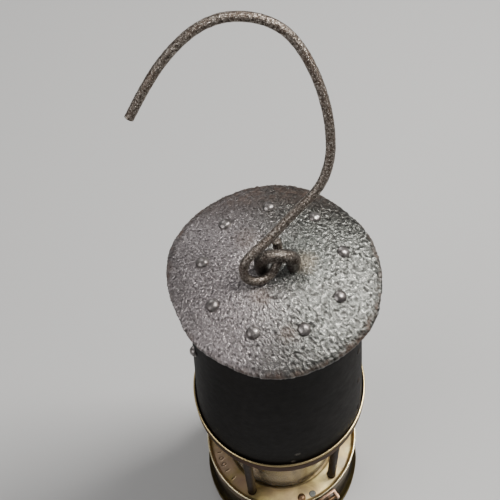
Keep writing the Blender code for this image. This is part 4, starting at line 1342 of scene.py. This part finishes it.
def pitting(depth, size, seed):
    def f(p, travelled):
        q = p / size + Vector((seed, 0, 0))
        n = noise.noise(q) + 0.5 * noise.noise(q * 2.3)
        return depth * n - depth * 0.35
    return f


BENDS = {-1: 4.0, 1: 5.6}
arch = [staple_point(-STAPLE_HALF, t) for t in np.linspace(-6.4, 8.4, 22)]
for side, order in ((-1, range(0, 10)), (1, range(9, -1, -1))):
    for k in order:
        a = math.pi / 2 * k / 9
        bend = BENDS[side]
        arch.append(staple_point(side * (STAPLE_HALF - bend + bend * math.cos(a)),
                                 STAPLE_HEIGHT - bend + bend * math.sin(a)))
arch += [staple_point(STAPLE_HALF, t) for t in np.linspace(6.8, -6.4, 20)]
v, f = tube(smooth_path(arch, 0.45), STAPLE_R, 30, pitting(0.10, 1.6, 2.0))
piece("crown_staple_bar", v, f, M_STAPLE, "lamp_frame", ("crown_staple",),
      angle=60)

hook_up = Vector((0, math.sin(HOOK_LEAN), math.cos(HOOK_LEAN)))
hook_back = Vector((0, math.cos(HOOK_LEAN), -math.sin(HOOK_LEAN)))


def hook_point(u, v, w):
    return HOOK_AXIS + Vector((u, 0, 0)) + hook_up * v + hook_back * w


HOOK_LINE = [
    (-45.6, 54.0, 0), (-39.6, 63.4, 0), (-33.4, 71.7, 0), (-26.4, 78.6, 0),
    (-19.9, 83.0, 0), (-12.8, 85.4, 0), (-5.6, 85.5, 0), (1.5, 83.7, 0),
    (7.5, 79.9, 0), (12.1, 74.2, 0), (15.7, 67.2, 0), (18.4, 59.8, 0),
    (20.2, 52.1, 0), (21.0, 44.0, 0), (20.8, 37.4, 0), (19.0, 30.4, 0),
    (16.3, 25.4, 0), (12.6, 21.2, 0), (8.5, 17.3, 0), (4.6, 13.4, -0.5),
    (0.7, 9.5, -1.1), (-3.5, 5.8, -2.0), (-7.4, 2.4, -2.4), (-9.9, -0.8, -2.1),
    (-10.8, -4.4, -1.2), (-10.2, -8.2, 0.1), (-7.4, -10.5, 1.1),
    (-3.5, -10.3, 2.2), (-0.3, -8.3, 3.6), (1.5, -5.2, 4.9),
    (1.9, -1.4, 5.6), (1.8, 1.8, 5.3), (1.3, 4.0, 4.5)]
v, f = tube(smooth_path([hook_point(*p) for p in HOOK_LINE], 0.42), HOOK_R, 26,
            pitting(0.09, 1.3, 6.0), 0.3, 0.3)
piece("hook_wire", v, f, M_HOOK, "hanging_hook", ("hanging_hook",), angle=60)

# =====================================================================
#  CAD nodes that stay, hidden inside the lamp
# =====================================================================
KEEP = {
    "gauze_inner": M_GAUZE, "gauze_outer": M_GAUZE, "gauze_seat_ring": M_BRASS_IN,
    "glass_top_washer": M_FIBRE, "glass_bottom_washer": M_FIBRE,
    "glass_seat_ring": M_BRASS_IN, "font_seal": M_LEATHER, "filler_washer": M_LEATHER,
    "cotton_packing": M_COTTON, "staple_backing_plate": M_TOP,
}
for node, material in KEEP.items():
    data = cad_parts[node].data
    data.materials.clear()
    data.materials.append(material)
